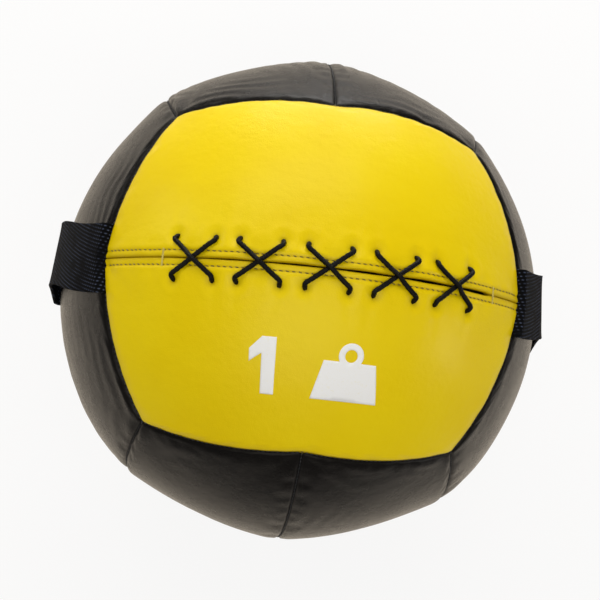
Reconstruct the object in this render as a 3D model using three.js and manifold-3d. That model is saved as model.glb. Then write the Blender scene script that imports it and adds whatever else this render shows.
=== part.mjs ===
// A soft twelve-panel medicine ball, lying on its back panels with its laced face up.
// The cover has the layout of a pyritohedron: six pairs of five-sided panels, and each
// pair meets at a long mid seam. The front pair is laced over the filling slit, and a
// webbing handle is sewn across the front panel of the left and the right pair.
// Millimetres, +Z up, +Y towards the top panels, the origin on the floor under the centre.

import * as THREE from 'three';
import { mergeVertices } from 'three/addons/utils/BufferGeometryUtils.js';
import Module from 'manifold-3d';

const wasm = await Module();
wasm.setup();

// ---------------------------------------------------------------- driving dimensions

const BALL_DIAMETER = 350;
const FOOT_SAG = 5; // how far the cover settles where it lies on the floor
const MID_SEAM_ANGLE = 51.1; // from the middle of a mid seam to its end, degrees
const CLEARANCE = 0.3; // between pieces that touch

const SHELL_WALL = 1.2;
const SEAM_GAP = 0.6; // between the edges of two panels
const SEAM_ROLL = 3; // width of a panel's edge that rolls down into the seam
const SEAM_DIP = 1.6; // how deep it rolls
const SEAM_ALLOWANCE = 6; // how far the panel's edge turns in below the seam
const FOAM_WALL = 6;
const LINING_WALL = 0.8;

const SLIT_LEFT = 103; // from the middle of the front to the slit's left end
const SLIT_RIGHT = 116;
const SLIT_MOUTH_LEFT = 0.8; // the slit's width at its left and right ends
const SLIT_MOUTH_RIGHT = 2.4;
const HEM_OVERRUN = 16; // the hemmed lips run on past the slit

const LACE_DIAMETER = 3;
const LACE_CROSSES = 5;
const LACE_PITCH = 39.4;
const LACE_MIDDLE = 1.7; // of the row of crosses, from the middle of the front
const LACE_CROSS_WIDTH = 26.5;
const LACE_CROSS_HEIGHT = 27.4;
const LACE_BEND = 2.4; // from a hole to where the lace has turned into its run
const LACE_TAIL = 9;

const TONGUE_WALL = 1.2;
const TONGUE_WIDTH = 42;
const TONGUE_OVERRUN = 10; // past the slit's ends

const WEBBING_WIDTH = 45;
const WEBBING_THICKNESS = 2;
const HANDLE_RISE = 6.2; // how far the handle's middle stands off the cover

const THREAD_DIAMETER = 0.8;
const TOPSTITCH_DIAMETER = 0.7;
const TOPSTITCH_OFFSET = 4.6; // from the mid seam
const BAR_TACK = { width: 2.4, thickness: 0.6 }; // it fills the space between the topstitch rows

const MARK = { x: 2, y: -62, height: 36, thickness: 0.3 };
const NUMERAL = { stem: 9, flag: 8, x: -32 };
const PICTOGRAM = { base: 46, top: 34, body: 25, ring: 8, hole: 4, x: 20 };

const MOUTH_RADIUS = 40; // the lining bag's filling mouth
const POUCH = { radius: 34, wall: 0.6, neck: 8, neckHeight: 14, room: 2 };
const TIE = { radius: 1.2, height: 7 };

// ---------------------------------------------------------------- how fine the facets are

const EDGE_FACET = 38; // the longest facet along a panel's short edge
const ROW_FACET = 30; // and across the panel
const LATHE_SEGMENTS = 16;
const ARC_STEPS = 8; // along a lathe's arc
const WEBBING_STEPS = 14;
const TUBE_SIDES = 8;
const THREAD_SIDES = 4;

// ---------------------------------------------------------------- derived sizes

const RADIUS = BALL_DIAMETER / 2;
const CENTRE = new THREE.Vector3(0, 0, RADIUS - FOOT_SAG);
const rad = THREE.MathUtils.degToRad;

const LONG = Math.sin(rad(MID_SEAM_ANGLE)); // a mid seam's end, along and above the seam
const HIGH = Math.cos(rad(MID_SEAM_ANGLE));
const CORNER = 1 / Math.sqrt(3);
const SHORT_EDGE = Math.acos(CORNER * (LONG + HIGH)); // radians
const PANEL_REACH = rad(90 - MID_SEAM_ANGLE); // from a mid seam's middle to the roof's, radians
const EDGE_STEPS = 4 * Math.ceil((RADIUS * SHORT_EDGE) / EDGE_FACET); // over four short edges
const ROW_STEPS = Math.ceil((RADIUS * PANEL_REACH) / ROW_FACET);

// A flat facet lies below the round surface by up to this much.
const FACET_SPAN = Math.hypot(
  (4 * SHORT_EDGE) / EDGE_STEPS,
  PANEL_REACH / ROW_STEPS,
);
const FACET_SAG = RADIUS * (1 - Math.cos(FACET_SPAN / 2));

const FOAM_DEPTH = SHELL_WALL + CLEARANCE;
const FOAM_INNER_DEPTH = FOAM_DEPTH + FOAM_WALL;
const HEM_DEPTH = SEAM_DIP + SHELL_WALL;
const LACE_INSIDE_DEPTH = HEM_DEPTH + FACET_SAG / 2 + CLEARANCE + LACE_DIAMETER / 2;
const TONGUE_DEPTH = LACE_INSIDE_DEPTH + LACE_DIAMETER / 2 + CLEARANCE;
const LINING_DEPTH = Math.max(
  FOAM_INNER_DEPTH + FACET_SAG,
  SEAM_DIP + SEAM_ALLOWANCE + FACET_SAG,
  TONGUE_DEPTH + TONGUE_WALL + FACET_SAG / 4,
) + CLEARANCE;
const ARC_SAG = 1 - Math.cos(Math.PI / 2 / ARC_STEPS); // of a lathe's arc, as a share of its radius
const FILLING_DEPTH = LINING_DEPTH + LINING_WALL + RADIUS * ARC_SAG + CLEARANCE;
const TAB_DEPTH = LINING_DEPTH - CLEARANCE; // the webbing's ends reach down to the lining

// ---------------------------------------------------------------- geometry helpers

// Merges the corners that faces share, and drops faces that have no area.
function welded(geometry) {
  const bare = geometry.clone();
  bare.deleteAttribute('normal');
  bare.deleteAttribute('uv');
  const merged = mergeVertices(bare, 1e-4);
  const kept = [];
  const index = merged.index.array;
  for (let i = 0; i < index.length; i += 3) {
    const [a, b, c] = [index[i], index[i + 1], index[i + 2]];
    if (a !== b && b !== c && c !== a) kept.push(a, b, c);
  }
  merged.setIndex(kept);
  return merged;
}

function solid(geometry) {
  const mesh = welded(geometry);
  return new wasm.Manifold(new wasm.Mesh({
    numProp: 3,
    vertProperties: new Float32Array(mesh.attributes.position.array),
    triVerts: new Uint32Array(mesh.index.array),
  }));
}

function geometryOf(manifold) {
  const mesh = manifold.getMesh();
  const geometry = new THREE.BufferGeometry();
  geometry.setAttribute('position', new THREE.BufferAttribute(mesh.vertProperties, 3));
  geometry.setIndex(new THREE.BufferAttribute(mesh.triVerts, 1));
  return geometry;
}

function cut(geometry, tools) {
  const rest = tools.reduce((body, tool) => body.subtract(solid(tool)), solid(geometry));
  return geometryOf(rest);
}

// The point of the ball at a depth below the cover's surface. Over the foot every layer is flat.
function place(direction, depth) {
  const point = direction.clone().setLength(RADIUS - depth).add(CENTRE);
  point.z = Math.max(point.z, depth);
  return point;
}

// The direction at x and y, measured along the surface from the middle of the front.
function frontDirection(x, y) {
  const across = x / RADIUS;
  const up = y / RADIUS;
  return new THREE.Vector3(
    Math.sin(across) * Math.cos(up),
    Math.sin(up),
    Math.cos(across) * Math.cos(up),
  );
}

function grid(columns, rows, pointAt) {
  return Array.from({ length: rows + 1 }, (_, row) => (
    Array.from({ length: columns + 1 }, (_, column) => pointAt(column, row))
  ));
}

function boundary(points) {
  const last = points.length - 1;
  const right = points.slice(1, last).map((row) => row[row.length - 1]);
  const left = points.slice(1, last).map((row) => row[0]);
  return [...points[0], ...right, ...[...points[last]].reverse(), ...left.reverse()];
}

// A closed body: the first grid is its outer skin, the last its inner skin, and the edges of
// the grids between them are the bends of its rim.
function skinnedBody(grids) {
  const corners = [];
  const face = (...points) => points.forEach((p) => corners.push(p.x, p.y, p.z));
  const skin = (points, turned) => {
    for (let row = 0; row + 1 < points.length; row += 1) {
      for (let column = 0; column + 1 < points[row].length; column += 1) {
        const [a, b] = [points[row][column], points[row][column + 1]];
        const [c, d] = [points[row + 1][column + 1], points[row + 1][column]];
        if (turned) {
          face(a, c, b);
          face(a, d, c);
        } else {
          face(a, b, c);
          face(a, c, d);
        }
      }
    }
  };
  skin(grids[0], false);
  for (let layer = 0; layer + 1 < grids.length; layer += 1) {
    const upper = boundary(grids[layer]);
    const lower = boundary(grids[layer + 1]);
    upper.forEach((point, i) => {
      const next = (i + 1) % upper.length;
      face(point, lower[i], lower[next]);
      face(point, lower[next], upper[next]);
    });
  }
  skin(grids[grids.length - 1], true);
  const geometry = new THREE.BufferGeometry();
  geometry.setAttribute('position', new THREE.Float32BufferAttribute(corners, 3));
  return welded(geometry);
}

// A path that an extrusion follows point by point.
class PointPath extends THREE.Curve {
  constructor(points) {
    super();
    this.points = points;
  }

  getPoint(t, target = new THREE.Vector3()) {
    const along = t * (this.points.length - 1);
    const i = Math.min(Math.floor(along), this.points.length - 2);
    return target.lerpVectors(this.points[i], this.points[i + 1], along - i);
  }

  getUtoTmapping(u) {
    return u;
  }
}

function roundSection(radius, sides) {
  const points = Array.from({ length: sides }, (_, i) => {
    const angle = (2 * Math.PI * i) / sides;
    return new THREE.Vector2(radius * Math.cos(angle), radius * Math.sin(angle));
  });
  return new THREE.Shape(points);
}

function tube(points, diameter, sides) {
  return new THREE.ExtrudeGeometry(roundSection(diameter / 2, sides), {
    steps: points.length - 1,
    extrudePath: new PointPath(points),
    bevelEnabled: false,
  });
}

// A solid turned about the vertical through the ball's centre, from [radius, height] points.
function turned(profile) {
  const points = profile.map(([radius, height]) => new THREE.Vector2(radius, height));
  return new THREE.LatheGeometry(points, LATHE_SEGMENTS).rotateX(Math.PI / 2);
}

// [radius, height] points of an arc about the ball's centre, between two angles from straight up.
function arc(radius, from, to) {
  return Array.from({ length: ARC_STEPS + 1 }, (_, i) => {
    const angle = from + ((to - from) * i) / ARC_STEPS;
    return [radius * Math.sin(angle), CENTRE.z + radius * Math.cos(angle)];
  });
}

// ---------------------------------------------------------------- the panel layout

// The corners of the upper front panel, anticlockwise from the left end of its mid seam.
const PANEL_CORNERS = [
  [-LONG, 0, HIGH],
  [LONG, 0, HIGH],
  [CORNER, CORNER, CORNER],
  [0, HIGH, LONG],
  [-CORNER, CORNER, CORNER],
].map((p) => new THREE.Vector3(...p).normalize());

const EDGE_NORMALS = PANEL_CORNERS.map((corner, i) => (
  corner.clone().cross(PANEL_CORNERS[(i + 1) % 5]).normalize()
));

// Where the two edges at a corner meet, once both are moved in by the same distance.
function insetCorner(corner, offset) {
  const [before, after] = [EDGE_NORMALS[(corner + 4) % 5], EDGE_NORMALS[corner]];
  const share = offset / (1 + before.dot(after));
  const inward = before.clone().add(after).multiplyScalar(share);
  return inward.addScaledVector(PANEL_CORNERS[corner], Math.sqrt(1 - inward.lengthSq()));
}

// Points of one edge of the panel, moved in by a distance and divided evenly.
function insetEdge(edge, inset, steps) {
  const offset = Math.sin(inset / RADIUS);
  const normal = EDGE_NORMALS[edge];
  const start = insetCorner(edge, offset);
  const end = insetCorner((edge + 1) % 5, offset);
  const middle = start.clone().add(end).projectOnPlane(normal).normalize();
  const along = normal.clone().cross(middle);
  const [from, to] = [start, end].map((p) => Math.atan2(p.dot(along), p.dot(middle)));
  const flat = Math.sqrt(1 - offset * offset);
  return Array.from({ length: steps + 1 }, (_, i) => {
    const angle = from + ((to - from) * i) / steps;
    return normal.clone().multiplyScalar(offset)
      .addScaledVector(middle, flat * Math.cos(angle))
      .addScaledVector(along, flat * Math.sin(angle));
  });
}

// A layer of a panel: its directions between the mid seam and the four short edges.
function panelLayer(turn, inset, depth) {
  const seam = insetEdge(0, inset, EDGE_STEPS);
  const roof = [4, 3, 2, 1].flatMap((edge, i) => (
    insetEdge(edge, inset, EDGE_STEPS / 4).reverse().slice(i === 0 ? 0 : 1)
  ));
  return grid(EDGE_STEPS, ROW_STEPS, (column, row) => {
    const direction = seam[column].clone().lerp(roof[column], row / ROW_STEPS).normalize();
    return place(direction.applyMatrix4(turn), depth);
  });
}

// Each panel's pair faces one way, and the panel lies to one side of the pair's mid seam.
const WAYS = {
  right: [1, 0, 0],
  left: [-1, 0, 0],
  top: [0, 1, 0],
  upper: [0, 1, 0],
  bottom: [0, -1, 0],
  lower: [0, -1, 0],
  front: [0, 0, 1],
  back: [0, 0, -1],
};

function panelTurn(face, side) {
  const out = new THREE.Vector3(...WAYS[face]);
  const up = new THREE.Vector3(...WAYS[side]);
  return new THREE.Matrix4().makeBasis(up.clone().cross(out), up, out);
}

const PANELS = [
  ['front', 'upper'], ['front', 'lower'], ['back', 'upper'], ['back', 'lower'],
  ['top', 'left'], ['top', 'right'], ['bottom', 'left'], ['bottom', 'right'],
  ['left', 'front'], ['left', 'back'], ['right', 'front'], ['right', 'back'],
].map(([face, side]) => ({
  name: `${face}_${side}`,
  turn: panelTurn(face, side),
  laced: face === 'front',
  yellow: face === 'front' || face === 'back',
  strapped: face === 'front' || face === 'left' || face === 'right',
}));

// ---------------------------------------------------------------- materials

function leather(name, colour) {
  return new THREE.MeshStandardMaterial({ name, color: colour, roughness: 0.35, metalness: 0 });
}

function cloth(name, colour) {
  return new THREE.MeshStandardMaterial({ name, color: colour, roughness: 0.85, metalness: 0 });
}

const yellowLeather = leather('yellow_leather', 0xebcd05);
const blackLeather = leather('black_leather', 0x17171a);
const blackWebbing = cloth('black_webbing', 0x1b1b1f);
const blackCord = cloth('black_cord', 0x121214);
const yellowThread = cloth('yellow_thread', 0xc9a800);
const blackThread = cloth('black_thread', 0x202024);
const whitePrint = cloth('white_print', 0xf4f4f2);
const greyFoam = cloth('grey_foam', 0x8f9296);
const liningCloth = cloth('lining_cloth', 0xcfc9bb);
const fibre = cloth('fibre_filling', 0xe9e6dd);
const sand = cloth('sand', 0xb79f78);

// ---------------------------------------------------------------- pieces of the lacing

const HALF_WIDTH = LACE_CROSS_WIDTH / 2;
const HALF_HEIGHT = LACE_CROSS_HEIGHT / 2;

function laceHole(cross, side, row) {
  const middle = LACE_MIDDLE + (cross - (LACE_CROSSES - 1) / 2) * LACE_PITCH;
  return new THREE.Vector2(middle + side * HALF_WIDTH, row * HALF_HEIGHT);
}

// One diagonal on the outside: in at the first hole, over the slit, and out at the last.
function laceDiagonal(first, last, insideFirst, insideLast, over) {
  const way = last.clone().sub(first).normalize();
  const low = TOPSTITCH_DIAMETER + CLEARANCE + LACE_DIAMETER / 2 + CLEARANCE;
  const peak = over ? low + LACE_DIAMETER + CLEARANCE : low;
  const shoulder = LACE_DIAMETER / 2 + CLEARANCE;
  const station = (spot, depth) => place(frontDirection(spot.x, spot.y), depth);
  const between = (share) => first.clone().lerp(last, share);
  return [
    station(first.clone().addScaledVector(insideFirst, LACE_BEND), LACE_INSIDE_DEPTH),
    station(first, SHELL_WALL / 2),
    station(first.clone().addScaledVector(way, LACE_BEND), -shoulder),
    station(between(0.3), -(shoulder + peak) / 2),
    station(between(0.5), -peak),
    station(between(0.7), -(shoulder + peak) / 2),
    station(last.clone().addScaledVector(way, -LACE_BEND), -shoulder),
    station(last, SHELL_WALL / 2),
    station(last.clone().addScaledVector(insideLast, LACE_BEND), LACE_INSIDE_DEPTH),
  ];
}

// One half of the lace, from the left cross to its tail behind the right one. It starts at
// the upper or the lower row, and changes rows at every cross.
function laceStrand(firstRow) {
  const right = new THREE.Vector2(1, 0);
  const left = new THREE.Vector2(-1, 0);
  const points = [];
  let row = firstRow;
  for (let cross = 0; cross < LACE_CROSSES; cross += 1) {
    const inward = cross === 0 ? new THREE.Vector2(0, -row) : left;
    const [first, last] = [laceHole(cross, -1, row), laceHole(cross, 1, -row)];
    points.push(...laceDiagonal(first, last, inward, right, row > 0));
    row = -row;
  }
  const lastHole = laceHole(LACE_CROSSES - 1, 1, row);
  const tail = frontDirection(lastHole.x + LACE_TAIL, lastHole.y);
  points.push(place(tail, LACE_INSIDE_DEPTH));
  return points;
}

function lacePath() {
  return [...laceStrand(1).reverse(), ...laceStrand(-1)];
}

function lace(diameter) {
  return tube(lacePath(), diameter, TUBE_SIDES);
}

// An upright wall that stands on an outline in x and y and reaches well past the front.
function uprightPrism(outline) {
  const shape = new THREE.Shape(outline.map(([x, y]) => new THREE.Vector2(x, y)));
  return new THREE.ExtrudeGeometry(shape, { depth: BALL_DIAMETER, bevelEnabled: false })
    .translate(0, 0, CENTRE.z);
}

function flatX(along) {
  return RADIUS * Math.sin(along / RADIUS);
}

function slitCut() {
  const [left, right] = [-flatX(SLIT_LEFT), flatX(SLIT_RIGHT)];
  return uprightPrism([
    [left, -SLIT_MOUTH_LEFT / 2],
    [right, -SLIT_MOUTH_RIGHT / 2],
    [right, SLIT_MOUTH_RIGHT / 2],
    [left, SLIT_MOUTH_LEFT / 2],
  ]);
}

// A curved slab behind the front, between two depths.
function frontSlab(left, right, halfWidth, outerDepth, innerDepth) {
  const layer = (depth) => grid(EDGE_STEPS, 2, (column, row) => {
    const x = left + ((right - left) * column) / EDGE_STEPS;
    return place(frontDirection(x, (row - 1) * halfWidth), depth);
  });
  return skinnedBody([layer(outerDepth), layer(innerDepth)]);
}

// Along the slit the panels' edges are hemmed flat, so nothing turns in below the lips.
function hemCut() {
  const width = SEAM_ROLL + SEAM_GAP + CLEARANCE;
  const [left, right] = [-SLIT_LEFT - HEM_OVERRUN, SLIT_RIGHT + HEM_OVERRUN];
  return frontSlab(left, right, width, HEM_DEPTH, FILLING_DEPTH);
}

function lacingTongue() {
  const [left, right] = [-SLIT_LEFT - TONGUE_OVERRUN, SLIT_RIGHT + TONGUE_OVERRUN];
  return frontSlab(left, right, TONGUE_WIDTH / 2, TONGUE_DEPTH, TONGUE_DEPTH + TONGUE_WALL);
}

// The backing foam stops short of the lacing on all sides.
function lacingRoom() {
  const y = TONGUE_WIDTH / 2 + 2 * CLEARANCE;
  const left = -flatX(SLIT_LEFT + HEM_OVERRUN);
  const right = flatX(SLIT_RIGHT + HEM_OVERRUN);
  return uprightPrism([[left, -y], [right, -y], [right, y], [left, y]]);
}

function topstitch(side) {
  const reach = RADIUS * rad(MID_SEAM_ANGLE) - 2 * SEAM_ROLL - WEBBING_THICKNESS;
  const depth = -(TOPSTITCH_DIAMETER / 2 + CLEARANCE);
  const steps = 2 * EDGE_STEPS;
  const points = Array.from({ length: steps + 1 }, (_, i) => {
    const x = -reach + (2 * reach * i) / steps;
    return place(frontDirection(x, side * TOPSTITCH_OFFSET), depth);
  });
  return tube(points, TOPSTITCH_DIAMETER, THREAD_SIDES);
}

// A dense bar of thread across one end of the slit, between the two rows of topstitching.
function barTack(x) {
  const halfLength = TOPSTITCH_OFFSET - TOPSTITCH_DIAMETER / 2 - CLEARANCE;
  const halfWidth = BAR_TACK.width / 2;
  const shape = new THREE.Shape();
  shape.moveTo(-halfWidth, -halfLength + halfWidth);
  shape.absarc(0, -halfLength + halfWidth, halfWidth, Math.PI, 0, false);
  shape.absarc(0, halfLength - halfWidth, halfWidth, 0, Math.PI, false);
  const pull = { depth: BAR_TACK.thickness, bevelEnabled: false, curveSegments: 4 };
  return new THREE.ExtrudeGeometry(shape, pull)
    .translate(0, 0, RADIUS + CLEARANCE)
    .rotateY(x / RADIUS)
    .translate(0, 0, CENTRE.z);
}

// ---------------------------------------------------------------- handles

// A frame on the surface above the left side: out from the ball, away from the front, and +Y.
function leftFrame(angle) {
  const out = new THREE.Vector3(-Math.sin(angle), 0, Math.cos(angle));
  const away = new THREE.Vector3(-Math.cos(angle), 0, -Math.sin(angle));
  return new THREE.Matrix4().makeBasis(new THREE.Vector3(0, 1, 0), away, out)
    .setPosition(out.clone().multiplyScalar(RADIUS).add(CENTRE));
}

const HANDLE_FRONT = rad(MID_SEAM_ANGLE);
const HANDLE_BACK = Math.PI / 2;
const HALF_WEBBING = WEBBING_WIDTH / 2;

// How much the two seams beside the mid seam's end lean towards the front.
function seamLean() {
  const away = new THREE.Vector3(-Math.cos(HANDLE_FRONT), 0, -Math.sin(HANDLE_FRONT));
  const seam = PANEL_CORNERS[4].clone().sub(PANEL_CORNERS[0]);
  return -seam.dot(away) / seam.y;
}

// A prism on an outline of [across, away from the front] points, from a depth to a height.
function prismOnLeft(angle, outline, depth, height) {
  const shape = new THREE.Shape(outline.map(([across, away]) => new THREE.Vector2(across, away)));
  return new THREE.ExtrudeGeometry(shape, { depth: depth + height, bevelEnabled: false })
    .translate(0, 0, -depth)
    .applyMatrix4(leftFrame(angle));
}

// The turned-in end of the webbing, which stands in the seam and follows its lean.
function webbingTab(angle, lean, grown) {
  const half = WEBBING_THICKNESS / 2 + grown;
  const reach = HALF_WEBBING + grown;
  const drop = lean * reach;
  const outline = [
    [-reach, -drop - half], [0, -half], [reach, -drop - half],
    [reach, -drop + half], [0, half], [-reach, -drop + half],
  ];
  return prismOnLeft(angle, outline, TAB_DEPTH + grown, WEBBING_THICKNESS + CLEARANCE + grown);
}

// All that lies on the front side of the front tab, or on the back side of the back tab.
function handleTrim(angle, lean, away) {
  const edge = away * (WEBBING_THICKNESS / 2 + CLEARANCE);
  const reach = WEBBING_WIDTH;
  const drop = lean * reach;
  const outline = [
    [-reach, edge - drop], [0, edge], [reach, edge - drop],
    [reach, -away * WEBBING_WIDTH], [-reach, -away * WEBBING_WIDTH],
  ];
  const ordered = away > 0 ? outline.reverse() : outline;
  return prismOnLeft(angle, ordered, WEBBING_WIDTH, WEBBING_WIDTH);
}

// The strap's inner and outer faces, as points of its side view in x and z.
function handleSide(offset) {
  const spare = WEBBING_WIDTH / 4 / RADIUS;
  return Array.from({ length: WEBBING_STEPS + 1 }, (_, i) => {
    const angle = HANDLE_FRONT - spare + ((HANDLE_BACK - HANDLE_FRONT + 2 * spare) * i) / WEBBING_STEPS;
    const share = (angle - HANDLE_FRONT) / (HANDLE_BACK - HANDLE_FRONT);
    const rise = HANDLE_RISE * Math.sin(Math.PI * THREE.MathUtils.clamp(share, 0, 1));
    const radius = RADIUS + CLEARANCE + rise + offset;
    return new THREE.Vector2(-radius * Math.sin(angle), CENTRE.z + radius * Math.cos(angle));
  });
}

function leftHandle() {
  const outline = new THREE.Shape([...handleSide(0), ...handleSide(WEBBING_THICKNESS).reverse()]);
  const strap = new THREE.ExtrudeGeometry(outline, { depth: WEBBING_WIDTH, bevelEnabled: false })
    .translate(0, 0, -HALF_WEBBING)
    .rotateX(Math.PI / 2);
  return cut(strap, [
    handleTrim(HANDLE_FRONT, seamLean(), 1),
    handleTrim(HANDLE_BACK, 0, -1),
  ]);
}

function onRight(geometry) {
  return geometry.clone().rotateZ(Math.PI);
}

function tabCuts() {
  const left = [
    webbingTab(HANDLE_FRONT, seamLean(), CLEARANCE),
    webbingTab(HANDLE_BACK, 0, CLEARANCE),
  ];
  return [...left, ...left.map(onRight)];
}

// ---------------------------------------------------------------- seam threads

// How many facets a panel's edge has over an angle: a mid seam's are not as long as the others.
function facetsOver(angle) {
  const short = (4 * SHORT_EDGE) / EDGE_STEPS;
  const long = (2 * rad(MID_SEAM_ANGLE)) / EDGE_STEPS;
  return Math.round(angle / (angle > SHORT_EDGE + CLEARANCE / RADIUS ? long : short));
}

// A run of thread in the seams between corners, with its two ends stopped short. Each facet
// of the panels' edges takes two of its own.
function seamThread(corners, startTrim, endTrim) {
  const depth = SEAM_DIP - THREAD_DIAMETER / 2 - CLEARANCE - SEAM_GAP / 4;
  const points = [];
  corners.slice(1).forEach((to, i) => {
    const from = corners[i];
    const length = from.angleTo(to);
    const first = i === 0 ? startTrim / RADIUS : 0;
    const last = i === corners.length - 2 ? length - endTrim / RADIUS : length;
    const steps = 2 * facetsOver(length);
    const axis = from.clone().cross(to).normalize();
    for (let step = i === 0 ? 0 : 1; step <= steps; step += 1) {
      const angle = first + ((last - first) * step) / steps;
      points.push(place(from.clone().applyAxisAngle(axis, angle), depth));
    }
  });
  return tube(points, THREAD_DIAMETER, THREAD_SIDES);
}

const cubeCorner = (x, y, z) => new THREE.Vector3(x, y, z).normalize();
const frontEnd = (x, z) => new THREE.Vector3(x * LONG, 0, z * HIGH);
const topEnd = (y, z) => new THREE.Vector3(0, y * HIGH, z * LONG);
const sideEnd = (x, y) => new THREE.Vector3(x * HIGH, y * LONG, 0);

const THREAD_STOP = 2 * THREAD_DIAMETER;
const TAB_STOP = HALF_WEBBING + THREAD_STOP;

function seamThreads() {
  const threads = {};
  [['upper', 1, 'top'], ['lower', -1, 'bottom']].forEach(([name, y, face]) => {
    const around = (z) => [
      frontEnd(-1, z), cubeCorner(-1, y, z), topEnd(y, z), cubeCorner(1, y, z), frontEnd(1, z),
    ];
    threads[`front_${name}_seam_thread`] = seamThread(around(1), TAB_STOP, TAB_STOP);
    threads[`back_${name}_seam_thread`] = seamThread(around(-1), THREAD_STOP, THREAD_STOP);
    [['left', -1], ['right', 1]].forEach(([side, x]) => {
      const corner = [cubeCorner(x, y, 1), sideEnd(x, y), cubeCorner(x, y, -1)];
      threads[`${side}_${name}_corner_thread`] = seamThread(corner, THREAD_STOP, THREAD_STOP);
      const middle = new THREE.Vector3(x, 0, 0);
      threads[`${side}_${name}_mid_thread`] = seamThread([middle, sideEnd(x, y)], TAB_STOP, THREAD_STOP);
    });
    const mid = [topEnd(y, 1), topEnd(y, -1)];
    threads[`${face}_mid_thread`] = seamThread(mid, THREAD_STOP, THREAD_STOP);
  });
  threads.back_mid_thread = seamThread([frontEnd(-1, -1), frontEnd(1, -1)], THREAD_STOP, THREAD_STOP);
  return threads;
}

// ---------------------------------------------------------------- the printed weight mark

function numeralOutline() {
  const { stem, flag } = NUMERAL;
  const [left, right] = [NUMERAL.x - stem / 2, NUMERAL.x + stem / 2];
  const [foot, head] = [-MARK.height / 2, MARK.height / 2];
  return new THREE.Shape([
    new THREE.Vector2(left, foot),
    new THREE.Vector2(right, foot),
    new THREE.Vector2(right, head),
    new THREE.Vector2(left, head),
    new THREE.Vector2(left - flag, head - flag),
    new THREE.Vector2(left - flag, head - 2 * flag),
    new THREE.Vector2(left, head - flag - stem / 4),
  ]);
}

// A plain weight: a block that narrows upwards, with a round eye on top.
function pictogramOutline() {
  const { base, top, body, ring, hole, x } = PICTOGRAM;
  const foot = -MARK.height / 2;
  const shoulder = foot + body;
  const shape = new THREE.Shape();
  shape.moveTo(x - base / 2, foot);
  shape.lineTo(x + base / 2, foot);
  shape.lineTo(x + top / 2, shoulder);
  const dip = Math.asin(0.5);
  const eye = shoulder + ring * Math.sin(dip);
  shape.absarc(x, eye, ring, -dip, Math.PI + dip, false);
  shape.lineTo(x - top / 2, shoulder);
  const opening = new THREE.Path();
  opening.absarc(x, eye, hole, 0, 2 * Math.PI, true);
  shape.holes.push(opening);
  return shape;
}

// A thin film of print: the part of a layer over the lower panel that the outline covers.
function printedFilm(shape) {
  const panel = PANELS.find((p) => p.name === 'front_lower');
  const inset = SEAM_ROLL + SEAM_GAP / 2;
  const film = skinnedBody([
    panelLayer(panel.turn, inset, -CLEARANCE - MARK.thickness),
    panelLayer(panel.turn, inset, -CLEARANCE),
  ]);
  const pull = { depth: RADIUS, bevelEnabled: false, curveSegments: 8 };
  const block = new THREE.ExtrudeGeometry(shape, pull)
    .translate(0, 0, RADIUS / 2)
    .rotateX(-MARK.y / RADIUS)
    .rotateY(MARK.x / RADIUS)
    .translate(0, 0, CENTRE.z);
  return geometryOf(solid(film).intersect(solid(block)));
}

// ---------------------------------------------------------------- cover and backing

function shellPanel(panel, tools) {
  const edge = SEAM_GAP / 2;
  const tip = SEAM_DIP + SEAM_ALLOWANCE;
  const body = skinnedBody([
    panelLayer(panel.turn, edge + SEAM_ROLL, 0),
    panelLayer(panel.turn, edge, SEAM_DIP),
    panelLayer(panel.turn, edge, tip),
    panelLayer(panel.turn, edge + SHELL_WALL, tip),
    panelLayer(panel.turn, edge + SEAM_ROLL + SHELL_WALL / 2, SHELL_WALL),
  ]);
  return tools.length > 0 ? cut(body, tools) : body;
}

function foamPad(panel, tools) {
  const inset = SEAM_GAP / 2 + SEAM_ROLL + SHELL_WALL / 2 + CLEARANCE;
  const body = skinnedBody([
    panelLayer(panel.turn, inset, FOAM_DEPTH),
    panelLayer(panel.turn, inset, FOAM_INNER_DEPTH),
  ]);
  return tools.length > 0 ? cut(body, tools) : body;
}

// ---------------------------------------------------------------- lining, filling and ballast

// The inside layers' round faces, cut flat over the foot where the facets of the foam rise.
const INSIDE_FOOT = FOAM_INNER_DEPTH + FOOT_SAG + CLEARANCE;

function footAngle(radius, height) {
  return Math.PI - Math.acos((CENTRE.z - height) / radius);
}

function liningBag() {
  const outer = RADIUS - LINING_DEPTH;
  const inner = outer - LINING_WALL;
  const mouth = (radius) => Math.asin(MOUTH_RADIUS / radius);
  const foot = INSIDE_FOOT;
  return turned([
    [0, foot],
    ...arc(outer, footAngle(outer, foot), mouth(outer)),
    ...arc(inner, mouth(inner), footAngle(inner, foot + LINING_WALL)),
    [0, foot + LINING_WALL],
  ]);
}

const POUCH_ROOM = POUCH.radius + POUCH.room;

// One half of the filling, with a hollow for the pouch and its tied neck in its flat face.
function fillingFront() {
  const radius = RADIUS - FILLING_DEPTH;
  const flat = CENTRE.z + CLEARANCE / 2;
  const neck = POUCH.neck + 2 * TIE.radius + 2 * CLEARANCE;
  const roof = CENTRE.z + POUCH.radius + POUCH.neckHeight + POUCH.room;
  const shoulder = Math.asin(neck / POUCH_ROOM);
  return turned([
    [0, roof],
    [neck, roof],
    ...arc(POUCH_ROOM, shoulder, Math.PI / 2).map(([r, z]) => [r, Math.max(z, flat)]),
    [radius, flat],
    ...arc(radius, Math.PI / 2 - CLEARANCE / radius, 0),
  ]);
}

function fillingBack() {
  const radius = RADIUS - FILLING_DEPTH;
  const flat = CENTRE.z - CLEARANCE / 2;
  const foot = INSIDE_FOOT + LINING_WALL + CLEARANCE;
  return turned([
    [0, foot],
    ...arc(radius, footAngle(radius, foot), Math.PI / 2 + CLEARANCE / radius),
    ...arc(POUCH_ROOM, Math.PI / 2, Math.PI).map(([r, z]) => [r, Math.min(z, flat)]),
  ]);
}

// The pouch rests in the hollow of the back half, and opens at the top of its neck.
const POUCH_DROP = POUCH.room - CLEARANCE;

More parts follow.
